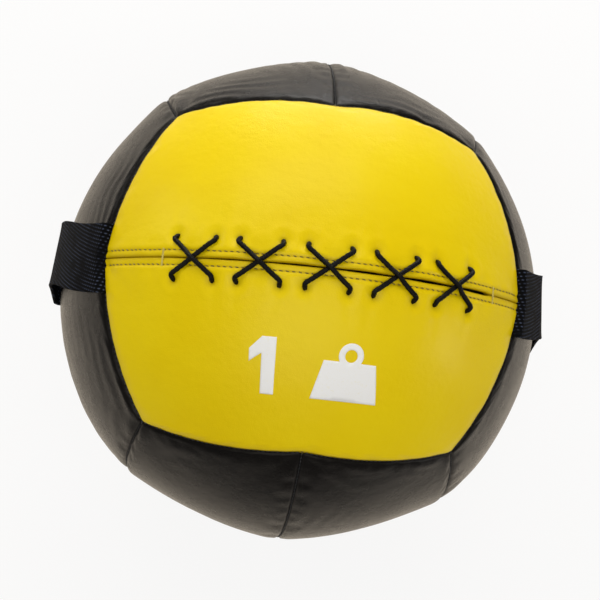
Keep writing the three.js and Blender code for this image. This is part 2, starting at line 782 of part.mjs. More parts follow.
function sandPouch() {
  const inner = POUCH.radius - POUCH.wall;
  const top = CENTRE.z + POUCH.radius + POUCH.neckHeight - POUCH.wall;
  const throat = POUCH.neck - POUCH.wall;
  return turned([
    ...arc(POUCH.radius, Math.PI, Math.asin(POUCH.neck / POUCH.radius)),
    [POUCH.neck, top],
    [throat, top],
    ...arc(inner, Math.asin(throat / inner), Math.PI),
  ]).translate(0, 0, -POUCH_DROP);
}

function sandBallast() {
  const radius = POUCH.radius * (1 - ARC_SAG) - POUCH.wall - CLEARANCE;
  const level = CENTRE.z + radius / 2;
  return turned([
    ...arc(radius, Math.PI, Math.acos(0.5)),
    [0, level],
  ]).translate(0, 0, -POUCH_DROP);
}

function pouchTie() {
  const height = CENTRE.z + POUCH.radius + TIE.height - POUCH_DROP;
  const ring = Array.from({ length: TUBE_SIDES + 1 }, (_, i) => {
    const angle = (2 * Math.PI * i) / TUBE_SIDES;
    const radius = POUCH.neck + CLEARANCE + TIE.radius * (1 + Math.cos(angle));
    return [radius, height + TIE.radius * Math.sin(angle)];
  });
  return turned(ring);
}

// ---------------------------------------------------------------- the assembly

const ball = new THREE.Group();

function add(name, geometry, material) {
  const mesh = new THREE.Mesh(geometry, material);
  mesh.name = name;
  ball.add(mesh);
}

const tabTools = tabCuts();
const lacingTools = [slitCut(), hemCut(), lace(LACE_DIAMETER + 2 * CLEARANCE)];

PANELS.forEach((panel) => {
  const tools = [...(panel.strapped ? tabTools : []), ...(panel.laced ? lacingTools : [])];
  add(`${panel.name}_panel`, shellPanel(panel, tools), panel.yellow ? yellowLeather : blackLeather);
  add(`${panel.name}_foam`, foamPad(panel, panel.laced ? [lacingRoom()] : []), greyFoam);
});

add('lace', lace(LACE_DIAMETER), blackCord);
add('lacing_tongue', lacingTongue(), blackLeather);
add('topstitch_upper', topstitch(1), yellowThread);
add('topstitch_lower', topstitch(-1), yellowThread);
add('left_bar_tack', barTack(-SLIT_LEFT - BAR_TACK.width), yellowThread);
add('right_bar_tack', barTack(SLIT_RIGHT + BAR_TACK.width), yellowThread);

const frontTab = webbingTab(HANDLE_FRONT, seamLean(), 0);
const backTab = webbingTab(HANDLE_BACK, 0, 0);
add('left_handle', leftHandle(), blackWebbing);
add('left_handle_front_tab', frontTab, blackWebbing);
add('left_handle_back_tab', backTab, blackWebbing);
add('right_handle', onRight(leftHandle()), blackWebbing);
add('right_handle_front_tab', onRight(frontTab), blackWebbing);
add('right_handle_back_tab', onRight(backTab), blackWebbing);

Object.entries(seamThreads()).forEach(([name, geometry]) => add(name, geometry, blackThread));

add('weight_mark_numeral', printedFilm(numeralOutline()), whitePrint);
add('weight_mark_pictogram', printedFilm(pictogramOutline()), whitePrint);

add('lining_bag', liningBag(), liningCloth);
add('filling_front', fillingFront(), fibre);
add('filling_back', fillingBack(), fibre);
add('sand_pouch', sandPouch(), liningCloth);
add('sand_ballast', sandBallast(), sand);
add('pouch_tie', pouchTie(), blackCord);

export default ball;
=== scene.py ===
# %% [markdown]
# # A laced medicine ball
# This lesson finishes a soft training ball: twelve sewn panels, a laced filling slit and two
# webbing handles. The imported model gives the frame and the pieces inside, and every piece
# that shows is made around it, in metres, with the origin on the floor under the middle of
# the ball and +Z out of the laced face.

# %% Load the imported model
import math

import bmesh
import bpy
import numpy as np
from mathutils import Matrix, Vector, noise
from mathutils.bvhtree import BVHTree


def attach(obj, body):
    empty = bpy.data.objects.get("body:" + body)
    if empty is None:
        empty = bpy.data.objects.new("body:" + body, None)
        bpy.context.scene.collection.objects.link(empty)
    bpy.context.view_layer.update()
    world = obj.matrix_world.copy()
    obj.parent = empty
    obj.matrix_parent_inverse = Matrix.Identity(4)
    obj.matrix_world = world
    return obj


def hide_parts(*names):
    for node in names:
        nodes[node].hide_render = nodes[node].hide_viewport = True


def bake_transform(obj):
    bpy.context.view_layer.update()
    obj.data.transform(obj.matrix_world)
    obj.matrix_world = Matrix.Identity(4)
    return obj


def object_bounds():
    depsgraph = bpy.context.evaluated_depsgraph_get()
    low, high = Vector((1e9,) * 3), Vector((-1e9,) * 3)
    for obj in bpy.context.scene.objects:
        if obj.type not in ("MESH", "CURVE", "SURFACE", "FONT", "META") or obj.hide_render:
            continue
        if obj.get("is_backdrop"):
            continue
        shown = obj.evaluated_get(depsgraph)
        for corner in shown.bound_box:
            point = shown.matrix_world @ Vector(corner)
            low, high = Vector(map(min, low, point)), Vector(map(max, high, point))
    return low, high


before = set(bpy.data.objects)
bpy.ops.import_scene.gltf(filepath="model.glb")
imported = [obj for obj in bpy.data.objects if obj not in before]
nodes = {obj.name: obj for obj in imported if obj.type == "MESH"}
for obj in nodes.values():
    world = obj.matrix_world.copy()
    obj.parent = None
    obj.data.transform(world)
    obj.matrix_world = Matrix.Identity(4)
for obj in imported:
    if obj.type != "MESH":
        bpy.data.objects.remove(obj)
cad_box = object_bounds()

MM = 0.001

# %% [markdown]
# ## The camera
# The ball lies on its back and is seen from above, a little from the right and from below.
# Three turns carry the ball's axes to the camera's, so the camera is placed by undoing
# them. A lens of about 64 mm at four and a half radii keeps the round outline undistorted.

# %% Place the camera
RADIUS = 175 * MM
CENTRE = np.array([0.0, 0.0, 170 * MM])
VIEW_ROLL = math.radians(-5.59)
VIEW_TIP = math.radians(-6.89)
VIEW_TURN = math.radians(4.69)
VIEW_DISTANCE = 4.559 * RADIUS


def look_axes():
    roll = Matrix.Rotation(VIEW_ROLL, 3, "Z")
    tip = Matrix.Rotation(VIEW_TIP, 3, "X")
    turn = Matrix.Rotation(VIEW_TURN, 3, "Y")
    return (roll @ tip @ turn).transposed()


VIEW = look_axes()  # its columns are the camera's right, up and backward axes
camera_data = bpy.data.cameras.new("camera")
camera_data.lens = 63.8
camera_data.sensor_width = 36
camera_data.shift_x = 0.002
camera_data.shift_y = 0.0007
camera = bpy.data.objects.new("camera", camera_data)
eye = Vector(CENTRE) + VIEW.col[2] * VIEW_DISTANCE
camera.matrix_world = Matrix.Translation(eye) @ VIEW.to_4x4()
bpy.context.scene.collection.objects.link(camera)
bpy.context.scene.camera = camera
print("camera at", [round(v, 3) for v in eye])

# %% [markdown]
# ## The layout of the cover
# Twelve five-sided panels make the ball, in six pairs. A pair meets at a long mid seam, and
# four short seams close the rest of each panel. One panel is worked out, and the twelve
# turns of the layout carry it round the ball. With its mid seam halved, a panel has six
# corners, so three four-sided patches fill it with even, square cells.

# %% Work out the panel's corners and the twelve turns
MID_SEAM_ANGLE = math.radians(51.1)
LONG = math.sin(MID_SEAM_ANGLE)
HIGH = math.cos(MID_SEAM_ANGLE)
CUBE = 1 / math.sqrt(3)


def unit(v):
    v = np.asarray(v, float)
    return v / np.linalg.norm(v, axis=-1, keepdims=True)


LEFT_END = unit([-LONG, 0, HIGH])
RIGHT_END = unit([LONG, 0, HIGH])
RIGHT_CORNER = unit([CUBE, CUBE, CUBE])
PEAK = unit([0, HIGH, LONG])
LEFT_CORNER = unit([-CUBE, CUBE, CUBE])
SEAM_MIDDLE = unit([0, 0, 1])
PANEL_RING = [LEFT_END, RIGHT_END, RIGHT_CORNER, PEAK, LEFT_CORNER]
PANEL_CENTRE = unit(sum(PANEL_RING) + SEAM_MIDDLE)

WAYS = {
    "right": (1, 0, 0),
    "left": (-1, 0, 0),
    "top": (0, 1, 0),
    "upper": (0, 1, 0),
    "bottom": (0, -1, 0),
    "lower": (0, -1, 0),
    "front": (0, 0, 1),
    "back": (0, 0, -1),
}
PANEL_NAMES = [
    "front_upper",
    "front_lower",
    "back_upper",
    "back_lower",
    "top_left",
    "top_right",
    "bottom_left",
    "bottom_right",
    "left_front",
    "left_back",
    "right_front",
    "right_back",
]


def panel_turn(name):
    face, side = name.split("_")
    out = np.array(WAYS[face], float)
    up = np.array(WAYS[side], float)
    return np.column_stack([np.cross(up, out), up, out])


PANEL_TURNS = {name: panel_turn(name) for name in PANEL_NAMES}
print("panels:", len(PANEL_TURNS))

# %% Fill a panel with three patches of directions
PATCH_STEPS = 24
CROWDING = 0.75 * math.pi / 2  # the cells grow finer towards the seams
PEAK_DRAW = 1.0


def great_arc(a, b, t):
    angle = math.acos(float(np.dot(a, b)))
    t = np.asarray(t)[..., None]
    return (np.sin((1 - t) * angle) * a + np.sin(t * angle) * b) / math.sin(angle)


def patch(a, b, c, steps):
    """Directions from the panel's centre to a, over the seams a-b and c-b, and to c."""
    even = np.linspace(0, 1, steps + 1)
    t = np.sin(CROWDING * even) / math.sin(CROWDING)
    u = t[:, None, None]
    v = t[None, :, None]
    k = PANEL_CENTRE
    sheet = (1 - v) * great_arc(k, a, t)[:, None] + v * great_arc(c, b, t)[:, None]
    sheet = sheet + (1 - u) * great_arc(k, c, t)[None] + u * great_arc(a, b, t)[None]
    sheet = sheet - ((1 - u) * (1 - v) * k + u * (1 - v) * a + u * v * b + (1 - u) * v * c)
    if np.allclose(b, PEAK):
        # The edge bends inwards at the peak, so the cells behind it are drawn back as well.
        back = u * v * (1 - u) * (1 - v) / (2 - u - v + 1e-9)
        sheet = sheet + PEAK_DRAW * back * unit(k - b)
    return unit(sheet)


def grid_faces(rows, columns, first=0):
    """The four-sided cells of a grid of points, whose first point has the number first."""
    i, j = np.meshgrid(np.arange(rows - 1), np.arange(columns - 1), indexing="ij")
    corner = first + i * columns + j
    quads = np.stack([corner, corner + columns, corner + columns + 1, corner + 1], axis=-1)
    return quads.reshape(-1, 4)


PATCHES = [
    (SEAM_MIDDLE, RIGHT_END, RIGHT_CORNER),
    (RIGHT_CORNER, PEAK, LEFT_CORNER),
    (LEFT_CORNER, LEFT_END, SEAM_MIDDLE),
]

WELD_CELLS = 1e5  # along one radius: points that share a cell are one point
WELD_OFFSET = 0.1234  # keeps the points off the edges of these cells


def patch_net(names, steps):
    """The patches of some panels as one net of directions, merged where they meet."""
    points = []
    faces = []
    for name in names:
        for a, b, c in PATCHES:
            faces.append(grid_faces(steps + 1, steps + 1, len(points) * (steps + 1) ** 2))
            points.append(patch(a, b, c, steps).reshape(-1, 3) @ PANEL_TURNS[name].T)
    points = np.concatenate(points)
    cells = np.floor(points * WELD_CELLS + WELD_OFFSET).astype(int)
    keep, where = np.unique(cells, axis=0, return_index=True, return_inverse=True)[1:]
    return points[keep], where.reshape(-1)[np.concatenate(faces)]


directions, ball_faces = patch_net(PANEL_NAMES, PATCH_STEPS)
ball_owners = np.repeat(np.arange(len(PANEL_NAMES)), len(PATCHES) * PATCH_STEPS**2)
print("cover net:", len(directions), "points,", len(ball_faces), "cells")

# %% [markdown]
# ## How far the cover stands out
# A sewn ball isn't a true sphere. The seams are held out as low ridges, the panels lie a
# little flatter between them, and the soft filling leaves slow lumps. All of this depends
# on the distance to the nearest seam and on the direction, so it is written as functions.

# %% Measure the distance to the seams
def arc_distance(points, a, b):
    """The distance in metres along the surface from unit directions to one seam."""
    normal = unit(np.cross(a, b))
    aside = np.arcsin(np.clip(points @ normal, -1, 1))
    within = (np.cross(a, points) @ normal > 0) & (np.cross(points, b) @ normal > 0)
    ends = np.maximum(points @ a, points @ b)
    return RADIUS * np.where(within, np.abs(aside), np.arccos(np.clip(ends, -1, 1)))


def panel_seam_distance(points, name):
    local = points @ PANEL_TURNS[name]
    arcs = [
        arc_distance(local, PANEL_RING[i], PANEL_RING[(i + 1) % 5]) for i in range(5)
    ]
    return np.min(arcs, axis=0)


def seam_distance(points):
    return np.min([panel_seam_distance(points, name) for name in PANEL_NAMES], axis=0)


RIDGE_HEIGHT = 3.4 * MM
RIDGE_WIDTH = 26 * MM
RIDGE_BASE = -3.8 * MM

# Slow lumps: a direction, how wide in degrees, and how high in millimetres.
LUMPS = [
    ((0.74, -0.67, 0.05), 15, 4.6),
    ((0.95, -0.28, 0.00), 13, 1.6),
    ((-0.75, -0.62, 0.10), 14, 1.6),
    ((-0.56, 0.82, 0.10), 12, 2.0),
    ((-0.36, -0.92, 0.00), 13, -1.2),
    ((0.10, 0.55, 0.80), 18, 1.2),
    ((0.40, -0.30, 0.86), 16, 1.4),
]


def lumps(points):
    height = np.zeros(len(points))
    for way, width, rise in LUMPS:
        angle = np.degrees(np.arccos(np.clip(points @ unit(way), -1, 1)))
        height += rise * MM * np.exp(-((angle / width) ** 2))
    return height


def cover_radius(points, distance):
    """The cover's smooth radius, before any seam, hole or wrinkle."""
    ridge = RIDGE_HEIGHT * np.exp(-distance / RIDGE_WIDTH)
    return RADIUS + RIDGE_BASE + ridge + lumps(points)


FOOT_ROUNDING = 2.5 * MM
FOOT_HEIGHT = 12 * MM  # nothing higher than this is pressed


def settle(points):
    """Presses the underside flat against the floor, with a soft edge."""
    z = points[:, 2]
    pressed = 0.5 * (z + np.sqrt(z * z + FOOT_ROUNDING**2))
    low = 0.5 * pressed.min()
    points = points.copy()
    points[:, 2] = np.where(z < FOOT_HEIGHT, pressed - low * (z < 0), z)
    return points


def on_ball(points, radius):
    return CENTRE + points * radius[:, None]


net_distance = seam_distance(directions)
net_radius = cover_radius(directions, net_distance)
print("radius in mm, from", round(net_radius.min() / MM, 1), "to", round(net_radius.max() / MM, 1))

# %% [markdown]
# ## Sewing and filling the cover
# The cover is cut a little larger than the ball, sewn, and stuffed. That is what the cloth
# solver does here: the seams are pinned, the cloth between them has some spare length, and
# pressure pushes it out, so soft dimples and puckers gather beside the seams. The movement
# is capped, because leather on foam can't lift far.

# %% Helpers that make mesh objects
def placed(name, mesh):
    piece = bpy.data.objects.new(name, mesh)
    bpy.context.scene.collection.objects.link(piece)
    return piece


def new_object(name, points, faces, edges=()):
    mesh = bpy.data.meshes.new(name)
    corners = [tuple(int(i) for i in face) for face in faces]
    mesh.from_pydata([tuple(p) for p in points], list(edges), corners)
    mesh.update()
    return placed(name, mesh)


def smoothed(piece):
    faces = piece.data.polygons
    faces.foreach_set("use_smooth", np.ones(len(faces), bool))
    return piece


def give_wall(piece, title, thickness, offset):
    """Thickens a sheet, inwards with an offset of -1 and outwards with 1."""
    wall = piece.modifiers.new(title, "SOLIDIFY")
    wall.thickness = thickness
    wall.offset = offset


def mesh_points(mesh):
    co = np.empty(len(mesh.vertices) * 3, np.float32)
    mesh.vertices.foreach_get("co", co)
    return co.reshape(-1, 3).astype(float)


def plain_mesh(piece):
    """The mesh that a piece's modifiers make."""
    graph = bpy.context.evaluated_depsgraph_get()
    return bpy.data.meshes.new_from_object(piece.evaluated_get(graph))


def applied(piece):
    """Turns the piece's modifiers into its own mesh."""
    mesh = plain_mesh(piece)
    piece.modifiers.clear()
    piece.data = mesh
    return piece


# %% Fill the cover with the cloth solver
CLOTH_FRAMES = 20
CLOTH_PRESSURE = 4
CLOTH_SPARE = -0.012
CLOTH_CAP = 1.6 * MM
PIN_DISTANCE = 0.3 * MM  # points nearer a seam than this are pinned


def filled(points, faces, pinned):
    cover = new_object("cover_net", points, faces)
    group = cover.vertex_groups.new(name="seams")
    group.add([int(i) for i in np.flatnonzero(pinned)], 1.0, "ADD")
    cloth = cover.modifiers.new("cloth", "CLOTH")
    cloth.settings.quality = 5
    cloth.settings.mass = 0.3
    cloth.settings.tension_stiffness = 30
    cloth.settings.compression_stiffness = 30
    cloth.settings.shear_stiffness = 12
    cloth.settings.bending_stiffness = 6
    cloth.settings.vertex_group_mass = "seams"
    cloth.settings.use_pressure = True
    cloth.settings.uniform_pressure_force = CLOTH_PRESSURE
    cloth.settings.shrink_min = CLOTH_SPARE
    cloth.settings.effector_weights.gravity = 0
    scene = bpy.context.scene
    for step in range(1, CLOTH_FRAMES + 1):
        scene.frame_set(step)
    moved = mesh_points(plain_mesh(cover)) - points
    bpy.data.objects.remove(cover)
    scene.frame_set(1)
    length = np.linalg.norm(moved, axis=1, keepdims=True)
    return moved, moved * np.minimum(1, CLOTH_CAP / np.maximum(length, 1e-9))


net_points = on_ball(directions, net_radius)
raw_moves, net_moves = filled(net_points, ball_faces, net_distance < PIN_DISTANCE)
reach = np.linalg.norm(raw_moves, axis=1) / MM
print("filling moved it by", reach.mean().round(2), "mm, at most", reach.max().round(2), "mm")

# %% [markdown]
# The net is still coarse. A Subdivision Surface rounds it off to cells of about a millimetre,
# which is fine enough for lips, creases and stitch furrows. Each cell remembers its panel in
# its material index, so that the panels can be cut apart afterwards.

# %% Refine the cover
REFINE_LEVELS = 2


def refined(points, faces, owners):
    net = new_object("fine_net", points, faces)
    net.data.polygons.foreach_set("material_index", owners.astype(np.int32))
    rounding = net.modifiers.new("rounding", "SUBSURF")
    rounding.levels = REFINE_LEVELS
    rounding.render_levels = REFINE_LEVELS
    mesh = plain_mesh(net)
    bpy.data.objects.remove(net)
    quads = np.empty(len(mesh.polygons) * 4, np.int32)
    mesh.polygons.foreach_get("vertices", quads)
    panels = np.empty(len(mesh.polygons), np.int32)
    mesh.polygons.foreach_get("material_index", panels)
    return mesh_points(mesh), quads.reshape(-1, 4), panels


fine_points, fine_faces, fine_owners = refined(net_points + net_moves, ball_faces, ball_owners)
print("fine cover:", len(fine_points), "points,", len(fine_faces), "cells")
print("panels in it:", set(fine_owners.tolist()))

# %% [markdown]
# ## Shaping the leather
# What the solver is too coarse for is modelled as small changes of height along the
# direction out of the ball: the rolled lips of the slit with their furrows of stitching, the
# dent and the pull crease at each lace hole, and wrinkles in the looser black panels.

# %% The lace holes and the slit
SLIT_LEFT = 101 * MM
SLIT_RIGHT = 118 * MM
SLIT_FADE = 4 * MM
MOUTH_LEFT = 0.2 * MM
MOUTH_RIGHT = 2.2 * MM
MOUTH_GROWTH = 1.4
MOUTH_OPENS = 10 * MM  # the length in which the mouth opens at its left end
MOUTH_CLOSES = 3 * MM
LACE_CROSSES = 5
LACE_PITCH = 41.6 * MM
LACE_MIDDLE = 1.7 * MM
LACE_CROSS_WIDTH = 26.5 * MM
LACE_CROSS_HEIGHT = 27.4 * MM
LACE_DIAMETER = 3 * MM
LACE_RADIUS = LACE_DIAMETER / 2
TOPSTITCH_OFFSET = 4.6 * MM


def front_direction(x, y):
    across = np.asarray(x) / RADIUS
    up = np.asarray(y) / RADIUS
    return np.stack([np.sin(across) * np.cos(up), np.sin(up), np.cos(across) * np.cos(up)], axis=-1)


def front_place(points):
    """Distances along the surface from the middle of the laced face, along the slit and up."""
    return RADIUS * np.arctan2(points[:, 0], points[:, 2]), RADIUS * np.arcsin(points[:, 1])


def lace_hole(cross, side, row):
    middle = LACE_MIDDLE + (cross - (LACE_CROSSES - 1) / 2) * LACE_PITCH
    return np.array([middle + side * LACE_CROSS_WIDTH / 2, row * LACE_CROSS_HEIGHT / 2])


LACE_HOLES = [
    lace_hole(cross, side, row)
    for cross in range(LACE_CROSSES)
    for side in (-1, 1)
    for row in (-1, 1)
]


def soft_step(x):
    x = np.clip(x, 0, 1)
    return x * x * (3 - 2 * x)


def bump_at(x, middle, width):
    return np.exp(-(((x - middle) / width) ** 2))


def slit_share(x):
    """1 along the open slit, falling to 0 past its ends."""
    left = soft_step((x + SLIT_LEFT + SLIT_FADE) / (2 * SLIT_FADE))
    right = soft_step((SLIT_RIGHT + SLIT_FADE - x) / (2 * SLIT_FADE))
    return left * right


def lace_wave(x):
    """1 under each cross of the lace, and -1 halfway between two crosses."""
    return np.cos(2 * math.pi * (x - LACE_MIDDLE) / LACE_PITCH)


def mouth_width(x):
    """The slit gapes towards its right end, and more between two crosses of the lace."""
    share = np.clip((x + SLIT_LEFT) / (SLIT_LEFT + SLIT_RIGHT), 0, 1)
    wide = MOUTH_LEFT + (MOUTH_RIGHT - MOUTH_LEFT) * share**MOUTH_GROWTH
    between = 0.75 - 0.25 * lace_wave(x)
    left = soft_step((x + SLIT_LEFT) / MOUTH_OPENS)
    right = np.sqrt(np.clip((SLIT_RIGHT - x) / MOUTH_CLOSES, 0, 1))
    return wide * between * left * right


print("lace holes:", len(LACE_HOLES))

# %% Heights of the laced face
# Each form: how high it stands, how far off its middle lies, and how wide it is.
LIP_ROLL = (0.5 * MM, 1.6 * MM, 2.3 * MM)
CLOSED_LIP = (0.12 * MM, 2.0 * MM, 2.0 * MM)
STITCH_FURROW = (-0.42 * MM, TOPSTITCH_OFFSET, 0.8 * MM)
OUTER_SWELL = (0.25 * MM, 7.0 * MM, 2.0 * MM)
CROSS_PRESS = (-0.7 * MM, 0, 10 * MM)
HOLE_FORMS = [
    (-1.1 * MM, 0, 2.4 * MM),
    (-0.6 * MM, 0, 7 * MM),
    (0.35 * MM, 7.5 * MM, 3.2 * MM),
]
LACED_HALF = 105 * MM
LACED_FADE = 12 * MM
PULL_LEAN = 0.15
PULL_DEPTH = 0.75 * MM
PULL_WIDTH = 2.0 * MM
PULL_SPREAD = 0.07
PULL_START = 3 * MM
PULL_REACH = 11 * MM
SHORT_PULL = (-0.45 * MM, 0, 1.6 * MM)
SHORT_PULL_LEAN = 0.4


def form_height(x, form):
    height, middle, width = form
    return height * bump_at(x, middle, width)


def pull_creases(dx, dy, hole_x):
    """The lace pulls one crease outwards from its hole, and a short one to the slit."""
    lean = PULL_LEAN * math.sin(hole_x / MM)
    outward = np.clip(dy, 0, 1)
    crease = bump_at(dx - lean * dy, 0, PULL_WIDTH + PULL_SPREAD * outward)
    long = PULL_DEPTH * crease * soft_step(dy / PULL_START) * np.exp(-outward / PULL_REACH)
    inner = soft_step(-dy / (2 * MM)) * soft_step((dy + PULL_REACH) / (4 * MM))
    return form_height(dx + SHORT_PULL_LEAN * dy, SHORT_PULL) * inner - long


def laced_heights(points):
    x, y = front_place(points)
    away = np.abs(y)
    slit = slit_share(x)
    # The folded lips are two rolls beside the slit, held down by the topstitching.
    height = slit * form_height(away, LIP_ROLL) + (1 - slit) * form_height(away, CLOSED_LIP)
    height += form_height(away, STITCH_FURROW) + form_height(away, OUTER_SWELL)
    # Between two crosses the lips swell, and under a cross the lace presses them down.
    inside = soft_step((LACED_HALF - np.abs(x - LACE_MIDDLE)) / LACED_FADE)
    height += inside * lace_wave(x) * form_height(y, CROSS_PRESS)
    for hole in LACE_HOLES:
        dx = x - hole[0]
        dy = (y - hole[1]) * math.copysign(1, hole[1])
        for form in HOLE_FORMS:
            height += form_height(np.hypot(dx, dy), form)
        height += pull_creases(dx, dy, hole[0])
    return height


# %% Wrinkles of the looser panels
def leather_noise(points, scale, seed):
    out = np.empty(len(points))
    for i, p in enumerate(points * scale + seed):
        out[i] = noise.noise(Vector(p))
    return out


FOLD_LENGTH = 38 * MM
FOLD_WIDTH = 13 * MM
FOLD_START = 5 * MM
FOLD_FADE = 22 * MM
FOLD_PATCHES = 55 * MM
PUCKER_SIZE = 5 * MM
PUCKER_HEIGHT = 0.22 * MM
PUCKER_FADE = 5 * MM


def wrinkle_heights(points, distance, looseness, seed):
    """Long soft folds that run beside the seams, and short puckers across them."""
    folds = leather_noise(points * RADIUS, 1 / FOLD_LENGTH, seed)
    rows = np.sin(2 * math.pi * distance / FOLD_WIDTH + 7 * folds)
    near = np.exp(-distance / FOLD_FADE) * soft_step(distance / FOLD_START)
    uneven = leather_noise(points * RADIUS, 1 / FOLD_PATCHES, seed + 5)
    height = looseness * rows * near * np.clip(0.4 + 1.6 * uneven, 0, 1)
    puckers = leather_noise(points * RADIUS, 1 / PUCKER_SIZE, seed + 9)
    return height + PUCKER_HEIGHT * puckers * np.exp(-distance / PUCKER_FADE)


LOOSENESS = {
    "top": 0.75 * MM,
    "bottom": 0.30 * MM,
    "left": 0.35 * MM,
    "right": 0.25 * MM,
    "back": 0.20 * MM,
}
print("looseness in mm:", {k: round(v / MM, 2) for k, v in LOOSENESS.items()})

# %% [markdown]
# ## Cutting the panels
# Each panel becomes its own piece. Its edge rolls down into the seam and turns in below it,
# as a sewn edge does, and a Solidify gives the leather its wall. Along the slit there is no
# seam: the two edges stand apart as a mouth, and turn in only a little.

# %% Cut one panel out of the fine cover
SEAM_ROLL = 2.7 * MM
SEAM_DIP = 1.3 * MM
MID_SEAM_ROLL = 1.3 * MM
MID_SEAM_DIP = 0.7 * MM
SEAM_GAP = 0.5 * MM
GAP_REACH = 2 * MM  # how far into a panel the gap moves it back
GAPE_REACH = 7 * MM  # the same for the mouth of the slit
SLIT_BAND = 8 * MM
LACED_EDGE = 1.5 * MM
FRONT_PUCKER_SIZE = 6 * MM
FRONT_PUCKER_HEIGHT = 0.12 * MM
TURNED_IN = 5.2 * MM
HEMMED_IN = 3.0 * MM
EDGE_SHARES = (0.3, 0.65, 1.0)
LEATHER_WALL = 0.9 * MM


def panel_part(index):
    faces = fine_faces[fine_owners == index]
    used, local = np.unique(faces, return_inverse=True)
    return fine_points[used], local.reshape(-1, 4)


def rim_of(faces):
    """The panel's edge as one loop of point numbers, anticlockwise from outside."""
    edges = np.concatenate([faces[:, [k, (k + 1) % 4]] for k in range(4)])
    seen = {(int(a), int(b)) for a, b in edges}
    following = {a: b for a, b in seen if (b, a) not in seen}
    start = min(following)
    loop = [start]
    while following[loop[-1]] != start:
        loop.append(following[loop[-1]])
    return np.array(loop)


def front_heights(ways, distance, seed):
    puckers = leather_noise(ways * RADIUS, 1 / FRONT_PUCKER_SIZE, seed)
    puckers *= FRONT_PUCKER_HEIGHT * np.exp(-distance / FRONT_PUCKER_SIZE)
    return laced_heights(ways) * soft_step(distance / LACED_EDGE + 0.35) + puckers


def shaped_panel(name, index):
    points, faces = panel_part(index)
    radius = np.linalg.norm(points - CENTRE, axis=1)
    ways = unit(points - CENTRE)
    distance = panel_seam_distance(ways, name)
    face, side = name.split("_")
    seed = 3.7 * index
    x, y = front_place(ways)
    away = np.abs(y)
    dip = SEAM_DIP * np.clip(1 - distance / SEAM_ROLL, 0, 1) ** 2
    if face == "front":
        height = front_heights(ways, distance, seed)
        slit = slit_share(x) * (away < SLIT_BAND)
        # The seam that carries the slit is topstitched flat, so its edges roll less.
        flat = MID_SEAM_DIP * np.clip(1 - away / MID_SEAM_ROLL, 0, 1) ** 2
        dip = np.where(away < SEAM_ROLL, flat, dip)
    else:
        height = wrinkle_heights(ways, distance, LOOSENESS[face], seed)
        slit = np.zeros(len(points))
    # The rim moves back from the seam line, and further where the slit gapes.
    inward = unit(PANEL_TURNS[name] @ PANEL_CENTRE)
    pull = unit(inward - ways * (ways @ inward)[:, None])
    shift = SEAM_GAP / 2 * np.clip(1 - distance / GAP_REACH, 0, 1)
    ways = unit(ways + pull * (shift / RADIUS)[:, None])
    if face == "front":
        gape = mouth_width(x) / 2 * np.clip(1 - away / GAPE_REACH, 0, 1) * WAYS[side][1]
        ways = unit(ways + np.array([0, 1, 0]) * (gape / RADIUS)[:, None])
    return ways, radius + height - dip, faces, slit


def with_wall(ways, radius, faces, slit):
    """Adds the turned-in edge below the rim."""
    rim = rim_of(faces)
    depth = TURNED_IN * (1 - slit[rim]) + HEMMED_IN * slit[rim]
    count = len(ways)
    rings = [rim]
    all_ways = [ways]
    all_radius = [radius]
    for share in EDGE_SHARES:
        all_ways.append(ways[rim])
        all_radius.append(radius[rim] - depth * share)
        rings.append(count + np.arange(len(rim)))
        count += len(rim)
    walls = []
    for upper, lower in zip(rings[:-1], rings[1:]):
        walls.append(np.stack([upper, lower, np.roll(lower, -1), np.roll(upper, -1)], axis=-1))
    points = on_ball(np.concatenate(all_ways), np.concatenate(all_radius))
    return settle(points), np.concatenate([faces] + walls)


panels = {}
outer_points = []
outer_faces = []
outer_count = 0
for index, name in enumerate(PANEL_NAMES):
    ways, radius, faces, slit = shaped_panel(name, index)
    points, all_faces = with_wall(ways, radius, faces, slit)
    panels[name] = smoothed(new_object(f"{name}_cover", points, all_faces))
    give_wall(panels[name], "leather wall", LEATHER_WALL, -1)
    outer_points.append(points[: len(ways)])
    outer_faces.append(faces + outer_count)
    outer_count += len(ways)
print("panels cut:", len(panels), "cells in a laced one:", len(panels["front_upper"].data.polygons))

# %% Make the cover's surface ready for what lies on it
cover_tree = BVHTree.FromPolygons(
    [Vector(p) for p in np.concatenate(outer_points)],
    [tuple(int(i) for i in f) for f in np.concatenate(outer_faces)],
)

RAY_START = 30 * MM


def on_cover(ways, lift):
    """Points on the finished cover, lifted outwards."""
    out = []
    for way in ways:
        start = Vector(CENTRE + way * (RADIUS + RAY_START))
        hit = cover_tree.ray_cast(start, -Vector(way))[0]
        if hit is None:
            hit = Vector(CENTRE + way * RADIUS)
        out.append(np.array(hit) + way * lift)
    return np.array(out)


upper_spot = on_cover(unit([[0, 0.3, 1]]), 0)[0]
print("height of the upper yellow panel in mm:", round(float(upper_spot[2]) / MM, 1))

# %% [markdown]
# ## Writing materials as expressions
# A finish is a small program of nodes. One class wraps a socket so that its maths can be
# written as Python, and one method adds any other node, so each finish below reads as a
# recipe: what varies, how much, and which socket of the shader it feeds.

# %% A class for shader maths
class Value:
    """A number in a material that varies over the surface."""

    def __init__(self, finish, socket):
        self.finish = finish
        self.socket = socket

    def _maths(self, operation, a, b=None):
        sockets = {0: a} if b is None else {0: a, 1: b}
        return self.finish.node("ShaderNodeMath", {"operation": operation}, sockets)

    def __add__(self, other):
        return self._maths("ADD", self, other)

    __radd__ = __add__

    def __sub__(self, other):
        return self._maths("SUBTRACT", self, other)

    def __rsub__(self, other):
        return self._maths("SUBTRACT", other, self)

    def __mul__(self, other):
        return self._maths("MULTIPLY", self, other)

    __rmul__ = __mul__

    def sine(self):
        return self._maths("SINE", self)

    def most(self, other):
        return self._maths("MAXIMUM", self, other)


